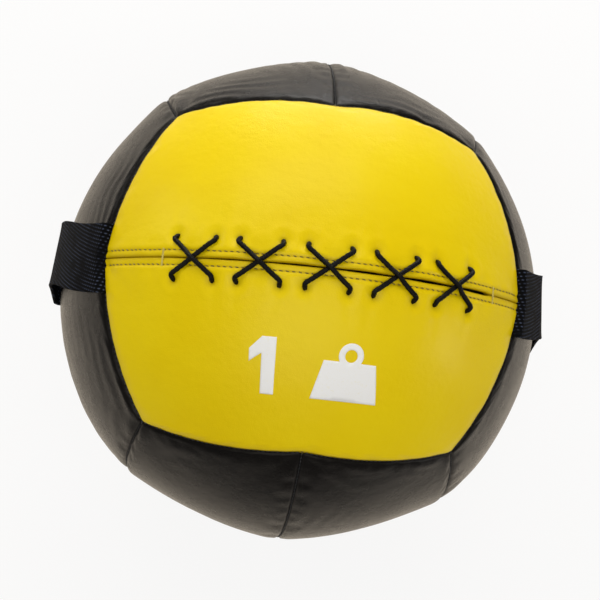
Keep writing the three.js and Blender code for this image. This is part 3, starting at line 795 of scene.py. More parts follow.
class Finish:
    """A material whose nodes are added one by one."""

    def __init__(self, name):
        self.material = bpy.data.materials.new(name)
        self.material.use_nodes = True
        self.tree = self.material.node_tree
        self.shader = self.tree.nodes["Principled BSDF"]
        self.coordinates = self.tree.nodes.new("ShaderNodeTexCoord")

    def node(self, kind, settings=None, sockets=None, output=0):
        made = self.tree.nodes.new(kind)
        for key, value in (settings or {}).items():
            setattr(made, key, value)
        for key, value in (sockets or {}).items():
            self.set(made.inputs[key], value)
        return Value(self, made.outputs[output])

    def set(self, socket, value):
        if isinstance(value, Value):
            self.tree.links.new(value.socket, socket)
        else:
            socket.default_value = value

    def shade(self, **sockets):
        for key, value in sockets.items():
            self.set(self.shader.inputs[key.replace("_", " ")], value)
        return self.material

    def place(self):
        return Value(self, self.coordinates.outputs["Object"])

    def sheet(self):
        return Value(self, self.coordinates.outputs["UV"])

    def parts(self, vector):
        split = self.node("ShaderNodeSeparateXYZ", None, {0: vector})
        return [Value(self, socket) for socket in split.socket.node.outputs]

    def noise(self, scale, detail=3, roughness=0.55):
        sockets = {"Vector": self.place(), "Scale": scale, "Detail": detail}
        sockets["Roughness"] = roughness
        return self.node("ShaderNodeTexNoise", None, sockets)

    def cells(self, scale):
        sockets = {"Vector": self.place(), "Scale": scale}
        return self.node("ShaderNodeTexVoronoi", {"feature": "DISTANCE_TO_EDGE"}, sockets)

    def attribute(self, name):
        return self.node("ShaderNodeAttribute", {"attribute_name": name}, None, "Fac")

    def ramp(self, value, low, high):
        sockets = {"Value": value, "From Min": low, "From Max": high}
        return self.node("ShaderNodeMapRange", {"clamp": True}, sockets)

    def mix(self, factor, a, b):
        return self.node("ShaderNodeMix", {"data_type": "RGBA"}, {0: factor, 6: a, 7: b}, 2)

    def bump(self, height, distance, strength=1.0, under=None):
        sockets = {"Height": height, "Distance": distance, "Strength": strength}
        if under is not None:
            sockets["Normal"] = under
        return self.node("ShaderNodeBump", None, sockets)


def colour(code):
    """A colour written as six hexadecimal digits, as the shader's linear values."""
    out = []
    for k in (0, 2, 4):
        c = int(code[k : k + 2], 16) / 255
        out.append(c / 12.92 if c <= 0.04045 else ((c + 0.055) / 1.055) ** 2.4)
    return (*out, 1.0)


# %% [markdown]
# ## The leathers
# Both leathers are a glossy plastic film on cloth. The film shows a fine pebble grain and a
# slow unevenness in its gloss. In the furrows of the stitching, in the seams and round the lace
# holes it is a little duller, and its colour is painted darker there as painted shade. The
# yellow is clean and bright; the black is a warm near-black with a little more gloss and a
# deeper grain.

# %% Yellow and black leather
def leather(name, base, painted_shade, worn, gloss, shine, tinge, grain_depth):
    finish = Finish(name)
    slow = finish.noise(14, 3)
    patch = finish.noise(45, 4, 0.6)
    fine = finish.cells(900)
    fibre = finish.noise(2600, 2)
    seam_shade_mask = finish.attribute("seam_shade")
    tint = finish.mix(finish.ramp(slow, 0.35, 0.7), base, worn)
    # Painted shade: the colour is painted darker at the seams, the stitch furrows and round the lace
    # holes.
    tint = finish.mix(finish.ramp(seam_shade_mask, 0.0, 1.0) * 0.75, tint, painted_shade)
    rough = gloss + (patch - 0.5) * 0.16 + seam_shade_mask * 0.15
    pebble = finish.ramp(fine, 0.0, 0.25)
    grain = finish.bump(pebble + fibre * 0.3, grain_depth)
    swell = finish.bump(finish.noise(160, 3), 0.35 * MM, 1.0, grain)
    finish.shade(Base_Color=tint, Roughness=rough, Normal=swell)
    finish.shade(Specular_IOR_Level=shine, Specular_Tint=tinge)
    finish.shade(Coat_Weight=0.05, Coat_Roughness=0.2)
    return finish.material


yellow_leather = leather(
    "yellow_leather",
    colour("ebcb00"),
    colour("8a6c00"),
    colour("efd208"),
    gloss=0.36,
    shine=0.13,
    tinge=(1.0, 1.0, 1.0, 1),
    grain_depth=0.04 * MM,
)
black_leather = leather(
    "black_leather",
    colour("0b0a0a"),
    colour("040404"),
    colour("12100f"),
    gloss=0.27,
    shine=0.1,
    tinge=(1.0, 0.90, 0.78, 1),
    grain_depth=0.06 * MM,
)

# %% [markdown]
# ## Cloth, cord and thread
# The webbing is a narrow cloth with a fine diagonal twill: its pattern follows the strap's
# own UV map, which is measured in metres. The cord is a braid, and each thread has a twist.

# %% Webbing, cord and thread
TWILL_PITCH = 2.4 * MM
YARN_PITCH = 2.1 * MM


def twill(name, painted_shade, base, painted_sheen):
    finish = Finish(name)
    across, along, _ = finish.parts(finish.sheet())
    rib = ((across - along * 0.20) * (2 * math.pi / TWILL_PITCH)).sine() * 0.5 + 0.5
    yarn = ((along + across * 0.3) * (2 * math.pi / YARN_PITCH)).sine() * 0.5 + 0.5
    fuzz = finish.noise(1800, 3)
    weave = rib * (yarn * 0.6 + 0.4)
    # Painted shade: the furrows of the weave are painted darker than the yarn.
    shade = finish.mix(finish.ramp(weave + fuzz * 0.2, 0.15, 0.7), painted_shade, base)
    # Painted sheen: the crests of the weave are painted a bluish grey, in patches.
    glint = finish.ramp(weave + fuzz * 0.3, 0.75, 1.05)
    tint = finish.mix(glint * finish.ramp(finish.noise(90, 3), 0.3, 0.55), shade, painted_sheen)
    relief = finish.bump(weave + fuzz * 0.2, 0.5 * MM)
    finish.shade(Base_Color=tint, Roughness=0.8, Normal=relief)
    finish.shade(Specular_IOR_Level=0.08)
    return finish.material


# The webbing's colours: the painted shade of its furrows, its black yarn, and its painted bluish
# sheen.
black_webbing = twill("black_webbing", colour("030304"), colour("0b0c10"), colour("434b5e"))

BRAID_PITCH = 3.2 * MM
BRAID_STRANDS = 4  # that lean the same way, counted round the cord


def braid(name, dark, light):
    finish = Finish(name)
    across, along, _ = finish.parts(finish.sheet())
    round_it = across * (2 * math.pi * BRAID_STRANDS)
    onward = along * (2 * math.pi / BRAID_PITCH)
    plait = (round_it + onward).sine() * (round_it - onward).sine() * 0.5 + 0.5
    fuzz = finish.noise(2500, 3)
    tint = finish.mix(finish.ramp(plait + fuzz * 0.4, 0.3, 1.2), dark, light)
    relief = finish.bump(plait + fuzz * 0.3, 0.22 * MM)
    finish.shade(Base_Color=tint, Roughness=0.55, Normal=relief)
    finish.shade(Specular_IOR_Level=0.15)
    return finish.material


black_cord = braid("black_cord", colour("030303"), colour("0e0d0c"))


def spun(name, dark, light, twist, rough):
    finish = Finish(name)
    fine = finish.node(
        "ShaderNodeTexWave",
        {"wave_type": "BANDS", "bands_direction": "DIAGONAL"},
        {"Vector": finish.place(), "Scale": twist, "Distortion": 1.5, "Detail": 2.0},
        1,
    )
    tint = finish.mix(finish.ramp(fine, 0.1, 0.9), dark, light)
    relief = finish.bump(fine, 0.1 * MM)
    finish.shade(Base_Color=tint, Roughness=rough, Normal=relief, Sheen_Weight=0.15)
    return finish.material


# The topstitch thread is a yellow close to the leather's; its dark olive colour is painted shade, for
# the furrow it lies in and its needle holes.
shade_darkened_thread = spun("shade_darkened_thread", colour("4a3d00"), colour("927a00"), 700, 0.7)
bright_thread = spun("bright_thread", colour("c9b02c"), colour("efe07a"), 700, 0.55)
black_thread = spun("black_thread", colour("0b0b0c"), colour("2a2a2e"), 700, 0.6)

# %% The print and the materials inside
def print_ink():
    finish = Finish("white_print")
    thin = finish.noise(220, 5, 0.65)
    speck = finish.ramp(finish.noise(1500, 2), 0.62, 0.72)
    wear = finish.ramp(thin, 0.60, 0.78) * 0.35 + speck * 0.25
    tint = finish.mix(wear, colour("f6f5f2"), colour("e9dc9a"))
    relief = finish.bump(finish.noise(900, 3), 0.03 * MM)
    finish.shade(Base_Color=tint, Roughness=0.45 + thin * 0.15, Normal=relief)
    return finish.material


def stuffing(name, dark, light, scale, depth, rough=0.9, sheen=0.3):
    finish = Finish(name)
    open_cells = finish.cells(scale)
    strands = finish.noise(scale * 2.5, 4, 0.7)
    mixed = finish.ramp(open_cells, 0.0, 0.35) * 0.6 + strands * 0.5
    tint = finish.mix(finish.ramp(mixed, 0.1, 0.9), dark, light)
    relief = finish.bump(mixed, depth)
    finish.shade(Base_Color=tint, Roughness=rough, Normal=relief, Sheen_Weight=sheen)
    return finish.material


def plain_weave(name, dark, light, pitch):
    finish = Finish(name)
    x, y, z = finish.parts(finish.place())
    turn = 2 * math.pi / pitch
    threads = (x * turn).sine() * (y * turn).sine() * (z * turn).sine()
    fuzz = finish.noise(900, 3)
    tint = finish.mix(finish.ramp(threads + fuzz, 0.0, 1.2), dark, light)
    relief = finish.bump(threads + fuzz * 0.5, 0.3 * MM)
    finish.shade(Base_Color=tint, Roughness=0.88, Normal=relief, Sheen_Weight=0.2)
    return finish.material


white_print = print_ink()
grey_foam = stuffing("grey_foam", colour("5f6266"), colour("a2a5a9"), 700, 0.5 * MM)
fibre_filling = stuffing("fibre_filling", colour("c9c4b6"), colour("f2efe8"), 260, 1.2 * MM)
sand = stuffing("sand", colour("7d6747"), colour("d0b98f"), 1200, 0.5 * MM, 0.95, 0.0)
lining_cloth = plain_weave("lining_cloth", colour("a39d90"), colour("dcd7ca"), 1.4 * MM)

INSIDE_FINISHES = {
    # The tongue is yellow leather; it takes the black leather as painted shade, so that the slit
    # looks dark deep inside.
    "lacing_tongue": black_leather,
    "lining_bag": lining_cloth,
    "sand_pouch": lining_cloth,
    "filling_front": fibre_filling,
    "filling_back": fibre_filling,
    "sand_ballast": sand,
    "pouch_tie": black_thread,
}
for name, material in INSIDE_FINISHES.items():
    nodes[name].data.materials.clear()
    nodes[name].data.materials.append(material)
print("finishes:", len(bpy.data.materials))

# %% [markdown]
# ## Dressing the panels
# The panels take their leather, and an attribute says how close each point is to a seam or
# a stitch furrow, for the shade that gathers there. Each panel stands for its CAD panel.

SEAM_SHADE_WIDTH = 1.6 * MM
FURROW_SHADE = (0.55, 0, 0.7 * MM)
HOLE_SHADE = (0.8, 0, 2.0 * MM)


def seam_shade(points, name):
    ways = unit(points - CENTRE)
    shade = np.exp(-panel_seam_distance(ways, name) / SEAM_SHADE_WIDTH)
    if name.startswith("front"):
        x, y = front_place(ways)
        shade = np.maximum(shade, form_height(np.abs(y) - TOPSTITCH_OFFSET, FURROW_SHADE))
        for hole in LACE_HOLES:
            reach = np.hypot(x - hole[0], y - hole[1])
            shade = np.maximum(shade, form_height(reach, HOLE_SHADE))
    return shade


def add_attribute(mesh, name, values):
    layer = mesh.attributes.new(name, "FLOAT", "POINT")
    layer.data.foreach_set("value", np.asarray(values, np.float32))


for name, piece in panels.items():
    add_attribute(piece.data, "seam_shade", seam_shade(mesh_points(piece.data), name))
    is_yellow = name.startswith(("front", "back"))
    piece.data.materials.append(yellow_leather if is_yellow else black_leather)
    applied(piece)
    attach(piece, "ball")
    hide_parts(f"{name}_panel")
print("a panel has", len(panels["top_left"].data.polygons), "faces")

# %% [markdown]
# ## The foam behind the cover
# A thin foam pad is bonded to the inside of each panel. Its outer face follows the leather
# and its inner face stays round. It is never seen from outside, so it is made coarser, from
# the same three patches, and stops short of the seams. The two front pads stop short of the
# slit as well, which leaves a channel for the inner runs of the lace.

# %% Make the foam pads
FOAM_STEPS = 10
FOAM_INSET = 5.2 * MM
FOAM_TOP = 2.4 * MM
FOAM_BOTTOM = 8.2 * MM
FOAM_FOOT = 7.4 * MM
PAD_REACH = 52 * MM  # from the middle of a panel to its nearest seam
PAD_BEVEL = 14 * MM
PAD_BEVEL_DEPTH = 0.6 * MM
LACING_ROOM = 22 * MM
LACING_LEFT = 131 * MM
LACING_RIGHT = 144 * MM
LACING_FADE = 12 * MM
LACING_SPREAD = 75 * MM


def room_for_lacing(ways):
    """Moves the edge of a front pad back from the slit, so that the lace has room."""
    x, y = front_place(ways)
    along = soft_step((x + LACING_LEFT) / LACING_FADE)
    along = along * soft_step((LACING_RIGHT - x) / LACING_FADE)
    back = (LACING_ROOM - FOAM_INSET) * along * np.clip(1 - np.abs(y) / LACING_SPREAD, 0, 1)
    return front_direction(x, y + np.sign(y) * back)


def foam_pad(name):
    ways, faces = patch_net([name], FOAM_STEPS)
    inward = unit(PANEL_TURNS[name] @ PANEL_CENTRE)
    share = FOAM_INSET / PAD_REACH
    ways = unit(ways * (1 - share) + inward * share)
    if name.startswith("front"):
        ways = room_for_lacing(ways)
    distance = panel_seam_distance(ways, name)
    bevel = PAD_BEVEL_DEPTH * (1 - np.minimum(1, distance / PAD_BEVEL))
    upper = on_ball(ways, cover_radius(ways, distance) - FOAM_TOP - bevel)
    lower = on_ball(ways, np.full(len(ways), RADIUS - FOAM_BOTTOM))
    upper[:, 2] = np.maximum(upper[:, 2], FOAM_TOP)
    lower[:, 2] = np.maximum(lower[:, 2], FOAM_FOOT)
    count = len(ways)
    rim = rim_of(faces)
    walls = np.stack([rim, rim + count, np.roll(rim, -1) + count, np.roll(rim, -1)], axis=-1)
    all_faces = np.concatenate([faces, faces[:, ::-1] + count, walls])
    return new_object(f"{name}_backing", np.concatenate([upper, lower]), all_faces)


for name in PANEL_NAMES:
    pad = foam_pad(name)
    pad.data.materials.append(grey_foam)
    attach(pad, "ball")
    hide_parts(f"{name}_foam")
print("foam pads made")

# %% [markdown]
# ## Stitches
# A seam is hundreds of equal stitches along a line, which is what Geometry Nodes are for.
# The tree turns a line of points into a curve, drops a point at every stitch, stands a
# small thread on each with its Z out of the ball, and varies its turn a little.

# %% Build the stitching tree
STITCH_INPUTS = {
    "Pitch": 2.8 * MM,
    "Length": 2.1 * MM,
    "Thickness": 0.6 * MM,
    "Lean": 0.0,
    "Unevenness": 0.08,
}


def stitching_tree():
    tree = bpy.data.node_groups.new("stitching", "GeometryNodeTree")
    face = tree.interface
    face.new_socket("Geometry", in_out="OUTPUT", socket_type="NodeSocketGeometry")
    face.new_socket("Geometry", in_out="INPUT", socket_type="NodeSocketGeometry")
    for name, value in STITCH_INPUTS.items():
        socket = face.new_socket(name, in_out="INPUT", socket_type="NodeSocketFloat")
        socket.default_value = value
    face.new_socket("Seed", in_out="INPUT", socket_type="NodeSocketInt")
    face.new_socket("Thread", in_out="INPUT", socket_type="NodeSocketMaterial")

    def add(kind, inputs=None, **settings):
        """Adds a node, fills its inputs with values or links, and returns its outputs."""
        made = tree.nodes.new(kind)
        for key, value in settings.items():
            setattr(made, key, value)
        for key, value in (inputs or {}).items():
            if isinstance(value, bpy.types.NodeSocket):
                tree.links.new(value, made.inputs[key])
            else:
                made.inputs[key].default_value = value
        return made.outputs

    given = add("NodeGroupInput")
    curve = add("GeometryNodeMeshToCurve", {"Mesh": given["Geometry"]})
    line = {"Curve": curve["Curve"], "Length": given["Pitch"]}
    stations = add("GeometryNodeCurveToPoints", line, mode="LENGTH")
    thread = add("GeometryNodeMeshUVSphere", {"Segments": 6, "Rings": 4, "Radius": 0.5})
    thick = given["Thickness"]
    size = add("ShaderNodeCombineXYZ", {"X": given["Length"], "Y": thick, "Z": thick})
    # Each stitch lies along the line and stands with its Z out of the ball.
    place = add("GeometryNodeInputPosition")
    out = add("ShaderNodeVectorMath", {0: place[0], 1: tuple(CENTRE)}, operation="SUBTRACT")
    axes = {0: out[0], 1: stations["Tangent"]}
    stand = add("FunctionNodeAxesToRotation", axes, primary_axis="Z", secondary_axis="X")
    # Its turn is the lean, give or take the unevenness.
    lean = {0: given["Lean"], 1: given["Unevenness"]}
    low = add("ShaderNodeMath", lean, operation="SUBTRACT")
    high = add("ShaderNodeMath", lean, operation="ADD")
    limits = {2: low[0], 3: high[0], "Seed": given["Seed"]}
    wobble = add("FunctionNodeRandomValue", limits, data_type="FLOAT")
    spin = add("FunctionNodeAxisAngleToRotation", {"Axis": (0, 0, 1), "Angle": wobble[1]})
    turns = {0: stand[0], 1: spin[0]}
    turned = add("FunctionNodeRotateRotation", turns, rotation_space="LOCAL")
    row = {"Points": stations["Points"], "Instance": thread["Mesh"]}
    row = {**row, "Rotation": turned[0], "Scale": size[0]}
    copies = add("GeometryNodeInstanceOnPoints", row)
    real = add("GeometryNodeRealizeInstances", {0: copies[0]})
    smooth = add("GeometryNodeSetShadeSmooth", {0: real[0]})
    dressed = {"Geometry": smooth[0], "Material": given["Thread"]}
    coloured = add("GeometryNodeSetMaterial", dressed)
    add("NodeGroupOutput", {0: coloured[0]})
    return tree


STITCHING = stitching_tree()
STITCH_IDS = {
    item.name: item.identifier
    for item in STITCHING.interface.items_tree
    if item.item_type == "SOCKET" and item.in_out == "INPUT"
}


def stitched(name, points, sizes, material, replaced):
    """A row of stitches along a line of points, as one plain mesh on the ball."""
    row = new_object(name, points, [], [(i, i + 1) for i in range(len(points) - 1)])
    sewing = row.modifiers.new("stitching", "NODES")
    sewing.node_group = STITCHING
    for key, value in sizes.items():
        sewing[STITCH_IDS[key]] = value
    sewing[STITCH_IDS["Thread"]] = material
    applied(row)
    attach(row, "ball")
    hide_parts(*replaced)


print("stitching inputs:", sorted(STITCH_IDS))

# %% Sew the seams between the panels
LINE_STEP = 1.5 * MM
SEAM_THREAD_DEPTH = 0.75 * MM
THREAD_STOP = 1.6 * MM
TAB_STOP = 24 * MM


def seam_line(corners, start_stop, end_stop):
    """Points along the bottom of the groove between corners, stopped short at both ends."""
    ways = []
    for k, (a, b) in enumerate(zip(corners[:-1], corners[1:])):
        length = math.acos(float(np.dot(a, b)))
        first = start_stop / RADIUS / length if k == 0 else 0
        last = 1 - end_stop / RADIUS / length if k == len(corners) - 2 else 1
        count = int(length * RADIUS / LINE_STEP)
        ways.append(great_arc(a, b, np.linspace(first, last, count)[int(k > 0) :]))
    ways = np.concatenate(ways)
    radius = cover_radius(ways, np.zeros(len(ways))) - SEAM_THREAD_DEPTH
    return settle(on_ball(ways, radius))


def corner(x, y, z):
    return unit([x, y, z])


def front_end(x, z):
    return np.array([x * LONG, 0, z * HIGH])


def top_end(y, z):
    return np.array([0, y * HIGH, z * LONG])


def side_end(x, y):
    return np.array([x * HIGH, y * LONG, 0])


seam_lines = {}
for side, y, face in (("upper", 1, "top"), ("lower", -1, "bottom")):
    for pair, z, stop in (("front", 1, TAB_STOP), ("back", -1, THREAD_STOP)):
        around = [front_end(-1, z), corner(-1, y, z), top_end(y, z), corner(1, y, z), front_end(1, z)]
        seam_lines[f"{pair}_{side}_seam"] = seam_line(around, stop, stop)
    for hand, x in (("left", -1), ("right", 1)):
        down = [corner(x, y, 1), side_end(x, y), corner(x, y, -1)]
        seam_lines[f"{hand}_{side}_corner"] = seam_line(down, THREAD_STOP, THREAD_STOP)
        middle = [corner(x, 0, 0), side_end(x, y)]
        seam_lines[f"{hand}_{side}_mid"] = seam_line(middle, TAB_STOP, THREAD_STOP)
    seam_lines[f"{face}_mid"] = seam_line([top_end(y, 1), top_end(y, -1)], THREAD_STOP, THREAD_STOP)
seam_lines["back_mid"] = seam_line([front_end(-1, -1), front_end(1, -1)], THREAD_STOP, THREAD_STOP)

SEAM_STITCH = {"Pitch": 3.0 * MM, "Length": 2.5 * MM, "Thickness": 0.75 * MM, "Unevenness": 0.10}
for seed, (name, line) in enumerate(seam_lines.items()):
    sizes = {**SEAM_STITCH, "Seed": seed}
    stitched(f"{name}_stitches", line, sizes, black_thread, [f"{name}_thread"])
print("sewn seams:", len(seam_lines))

# %% Topstitch the lips of the slit and bar its ends
TOPSTITCH = {
    "Pitch": 3.8 * MM,
    "Length": 2.7 * MM,
    "Thickness": 0.8 * MM,
    "Lean": math.radians(-12),
    "Unevenness": 0.16,
}
TOPSTITCH_REACH = RADIUS * MID_SEAM_ANGLE - 8 * MM
TOPSTITCH_SINK = 0.08 * MM
for side, y in (("upper", 1), ("lower", -1)):
    x = np.linspace(-TOPSTITCH_REACH, TOPSTITCH_REACH, 240)
    ways = front_direction(x, np.full(len(x), y * TOPSTITCH_OFFSET))
    line = on_cover(ways, TOPSTITCH_SINK)
    sizes = {**TOPSTITCH, "Seed": 30 + y}
    replaced = [f"topstitch_{side}"]
    stitched(f"topstitch_{side}_row", line, sizes, shade_darkened_thread, replaced)

BAR_TACK_WIDTH = 2.0 * MM
BAR_TACK_REACH = 5.2 * MM
BAR_TACK_LIFT = 0.15 * MM
BAR_TACK = {
    "Pitch": 0.65 * MM,
    "Length": BAR_TACK_WIDTH,
    "Thickness": 0.65 * MM,
    "Lean": math.radians(78),
    "Unevenness": 0.12,
}
for side, x in (("left", -SLIT_LEFT - BAR_TACK_WIDTH), ("right", SLIT_RIGHT + BAR_TACK_WIDTH)):
    y = np.linspace(-BAR_TACK_REACH, BAR_TACK_REACH, 20)
    ways = front_direction(np.full(len(y), x), y)
    crest = np.linalg.norm(on_cover(ways, 0) - CENTRE, axis=1)
    bridged = np.maximum.reduce([np.roll(crest, k) for k in (-2, -1, 0, 1, 2)])
    line = on_ball(ways, bridged + BAR_TACK_LIFT)
    sizes = {**BAR_TACK, "Seed": 40}
    stitched(f"{side}_bar", line, sizes, bright_thread, [f"{side}_bar_tack"])
print("topstitched")

# %% [markdown]
# ## The lace
# One round cord makes the five crosses. Each diagonal comes up through its hole, stands
# nearly upright for a moment where it bends, and crosses the slit; the inner runs lie
# behind the leather. It is swept along a smooth path as a tube, with a UV map in turns and
# metres that the braid follows.

# %% Sweep a tube along a path
KNOT_STEPS = 24
BLUNT_END = (0.35, 0.75, 0.94)
BRAID_SWELL = 0.06


def lengths_along(path):
    """How far along a path each of its points lies."""
    steps = np.linalg.norm(np.diff(path, axis=0), axis=1)
    return np.concatenate([[0], np.cumsum(steps)])


def smooth_path(knots, step):
    """A Catmull-Rom curve through the knots, as evenly spaced points."""
    knots = np.asarray(knots)
    padded = np.concatenate([[2 * knots[0] - knots[1]], knots, [2 * knots[-1] - knots[-2]]])
    t = np.linspace(0, 1, KNOT_STEPS, endpoint=False)[:, None]
    dense = []
    for k in range(1, len(padded) - 2):
        p0, p1, p2, p3 = padded[k - 1 : k + 3]
        bend = (2 * p0 - 5 * p1 + 4 * p2 - p3) * t**2 + (3 * p1 - p0 - 3 * p2 + p3) * t**3
        dense.append(0.5 * (2 * p1 + (p2 - p0) * t + bend))
    dense = np.concatenate(dense + [knots[-1:]])
    along = lengths_along(dense)
    even = np.linspace(0, along[-1], int(along[-1] / step) + 1)
    return np.stack([np.interp(even, along, dense[:, k]) for k in range(3)], axis=-1)


def swept_tube(name, path, radius, sides):
    """A closed tube, with UVs of turns round it and metres along it."""
    along = lengths_along(path)
    tangents = unit(np.gradient(path, axis=0))
    side = unit(np.cross(tangents[0], [0.3, 0.2, 1]))
    turns = 2 * math.pi * np.arange(sides) / sides
    points = []
    for k, (point, tangent) in enumerate(zip(path, tangents)):
        side = unit(side - tangent * (side @ tangent))
        other = np.cross(tangent, side)
        end = min(k, len(path) - 1 - k)
        blunt = BLUNT_END[end] if end < len(BLUNT_END) else 1.0
        for turn in turns:
            plait = BRAID_STRANDS * turn + 2 * math.pi * along[k] / BRAID_PITCH
            reach = radius * blunt * (1 + BRAID_SWELL * math.sin(plait))
            points.append(point + reach * (side * math.cos(turn) + other * math.sin(turn)))
    faces = []
    for k in range(len(path) - 1):
        for j in range(sides):
            n = (j + 1) % sides
            faces.append((k * sides + j, k * sides + n, (k + 1) * sides + n, (k + 1) * sides + j))
    faces.append(range(sides)[::-1])
    faces.append(range((len(path) - 1) * sides, len(path) * sides))
    piece = smoothed(new_object(name, points, faces))
    uv = piece.data.uv_layers.new(name="UVMap")
    for polygon in piece.data.polygons:
        k, j = divmod(polygon.index, sides)
        for place, loop in enumerate(polygon.loop_indices):
            row = min(k + (place in (2, 3)), len(along) - 1)
            uv.data[loop].uv = ((j + (place in (1, 2))) / sides, along[row])
    return piece


# %% Lay the lace
LACE_INSIDE = 5.2 * MM
LACE_BEND = 2.4 * MM
LACE_TAIL = 9 * MM
KNEE = 3.0 * MM
HOLE_DEPTH = 3.0 * MM
HOLE_EDGE = 0.9 * MM
HOLE_RISE = 0.5 * MM
KNEE_RUN = 4.5 * MM
SHOULDER = 5.5 * MM
SHOULDER_RISE = 1.2 * MM
LACE_CLEARANCE = 0.1 * MM
LACE_SQUEEZE = 0.4 * MM
SLIT_LIPS = 3 * MM


def lace_station(spot, height):
    """A point over the finished cover, or inside it where the height is negative."""
    way = front_direction(spot[0], spot[1])[None]
    if height < 0:
        return on_ball(way, np.array([RADIUS + height]))[0]
    # The lace rests on the highest of the leather beside it, and so bridges the slit.
    beside = np.array([-3, -2, 0, 2, 3] if abs(spot[1]) < SLIT_LIPS else [-2, 0, 2]) * MM
    near = front_direction(np.full(len(beside), spot[0]), spot[1] + beside)
    crest = np.linalg.norm(on_cover(near, 0) - CENTRE, axis=1).max()
    return on_ball(way, np.array([crest + height]))[0]


def lace_diagonal(first, last, inside_first, inside_last, over):
    upright = np.array([0, -math.copysign(1, first[1])])
    knee_first = first + upright * KNEE
    knee_last = last - upright * KNEE
    way = unit(knee_last - knee_first)
    rest = LACE_RADIUS + LACE_CLEARANCE
    peak = rest + (LACE_DIAMETER - LACE_SQUEEZE if over else 0)
    shoulder = rest + (SHOULDER_RISE if over else 0)
    middle = (first + last) / 2
    return [
        lace_station(first + inside_first * LACE_BEND, -LACE_INSIDE),
        lace_station(first, -HOLE_DEPTH),
        lace_station(first + upright * HOLE_EDGE, HOLE_RISE),
        lace_station(knee_first, rest),
        lace_station(knee_first + way * KNEE_RUN, rest),
        lace_station(middle - way * SHOULDER, shoulder),
        lace_station(middle, peak),
        lace_station(middle + way * SHOULDER, shoulder),
        lace_station(knee_last - way * KNEE_RUN, rest),
        lace_station(knee_last, rest),
        lace_station(last - upright * HOLE_EDGE, HOLE_RISE),
        lace_station(last, -HOLE_DEPTH),
        lace_station(last + inside_last * LACE_BEND, -LACE_INSIDE),
    ]


def lace_strand(first_row):
    knots = []
    row = first_row
    for cross in range(LACE_CROSSES):
        inside_first = np.array([0.0, -row]) if cross == 0 else np.array([-1.0, 0.0])
        first = lace_hole(cross, -1, row)
        last = lace_hole(cross, 1, -row)
        knots += lace_diagonal(first, last, inside_first, np.array([1.0, 0.0]), row > 0)
        row = -row
    tail = lace_hole(LACE_CROSSES - 1, 1, row) + np.array([LACE_TAIL, 0])
    knots.append(lace_station(tail, -LACE_INSIDE))
    return knots


LACE_STEP = 0.7 * MM
LACE_SIDES = 14
lace_path = smooth_path(lace_strand(1)[::-1] + lace_strand(-1), LACE_STEP)
lace = swept_tube("lace_cord", lace_path, LACE_RADIUS, LACE_SIDES)
lace.data.materials.append(black_cord)
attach(lace, "ball")
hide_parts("lace")
lace_length = lengths_along(lace_path)[-1]
print("lace length:", round(lace_length, 3), "m,", len(lace.data.polygons), "faces")

# %% [markdown]
# ## The webbing handles
# Each handle is a flat strap, sewn into the seams at both ends, that stands off the cover in
# the middle. It is modelled directly as a thin curved sheet with slightly raised edges,
# because a strap held at both ends has a plain shape that needs no cloth solver. Its ends
# dive into the seams. It is made in two halves, a front and a back one, which meet at its
# middle.

# %% Make the straps
WEBBING_WIDTH = 45 * MM
WEBBING_THICKNESS = 2 * MM
STRAP_BASE = -2.2 * MM
STRAP_LIFT = 0.9 * MM
HANDLE_FRONT = MID_SEAM_ANGLE
HANDLE_BACK = math.pi / 2
HANDLE_ARC = HANDLE_BACK - HANDLE_FRONT
TAB_DEPTH = 6.5 * MM
TAB_SHARES = (1.0, 0.75, 0.5, 0.3, 0.15)
TAB_START = 0.0008  # the angle from a seam at which the strap leaves it
STRAP_ACROSS = 44
STRAP_ALONG = 100
BEND_HEIGHT = 0.7 * MM
BEND_WIDTH = 0.07
SEAM_LEAN = 0.1495
LEAN_FADE = 0.12
CURL_HEIGHT = 0.5 * MM
CURL_WIDTH = 0.12
WAVE_HEIGHT = 0.35 * MM


def strap_height(share, crease, rise):
    """How far the strap's inner face stands over the ball, from its front to its back end."""
    dome = rise * math.sin(math.pi * share) ** 0.85
    bend = form_height(share, (BEND_HEIGHT, crease, BEND_WIDTH))
    seam_gap = min(share, 1 - share) * HANDLE_ARC * RADIUS
    ridge = RIDGE_HEIGHT * math.exp(-seam_gap / RIDGE_WIDTH)
    return dome + bend + ridge + STRAP_LIFT + STRAP_BASE


def strap_path(crease, rise):
    """Points in the side view: the angle from the front, and the height over the ball."""
    front = [(HANDLE_FRONT, -TAB_DEPTH * share) for share in TAB_SHARES]
    front.append((HANDLE_FRONT + TAB_START, STRAP_LIFT))
    back = [(HANDLE_BACK, -TAB_DEPTH * share) for share in TAB_SHARES]
    back.append((HANDLE_BACK - TAB_START, STRAP_LIFT))
    middle = []
    for k in range(1, STRAP_ALONG):
        share = k / STRAP_ALONG
        middle.append((HANDLE_FRONT + HANDLE_ARC * share, strap_height(share, crease, rise)))
    return front + middle + back[::-1]


def strap_points(side, crease, seed, rise, drift, twist):
    """Rows of points across the strap, from its front end to its back end."""
    rows = []
    for angle, height in strap_path(crease, rise):
        row = []
        share = (angle - HANDLE_FRONT) / HANDLE_ARC
        sag = math.sin(math.pi * share)
        for j in range(STRAP_ACROSS + 1):
            across = (j / STRAP_ACROSS - 0.5) * WEBBING_WIDTH
            # Near its front end the strap follows the seam, which leans towards the front.
            slant = -SEAM_LEAN * abs(across) * math.exp(-share / LEAN_FADE) / RADIUS
            edge = 1 - abs(2 * j / STRAP_ACROSS - 1)
            curl = CURL_HEIGHT * sag * math.exp(-edge / CURL_WIDTH)
            wave = WAVE_HEIGHT * sag * math.sin(9 * share + seed + 40 * across)
            tilt = -twist * sag * across / (WEBBING_WIDTH / 2)
            a = angle + slant
            r = RADIUS + height + curl + wave + tilt
            y = across + drift * math.sin(math.pi * share**1.8)
            row.append((side * r * math.sin(a), y, CENTRE[2] + r * math.cos(a)))
        rows.append(row)
    return np.array(rows)


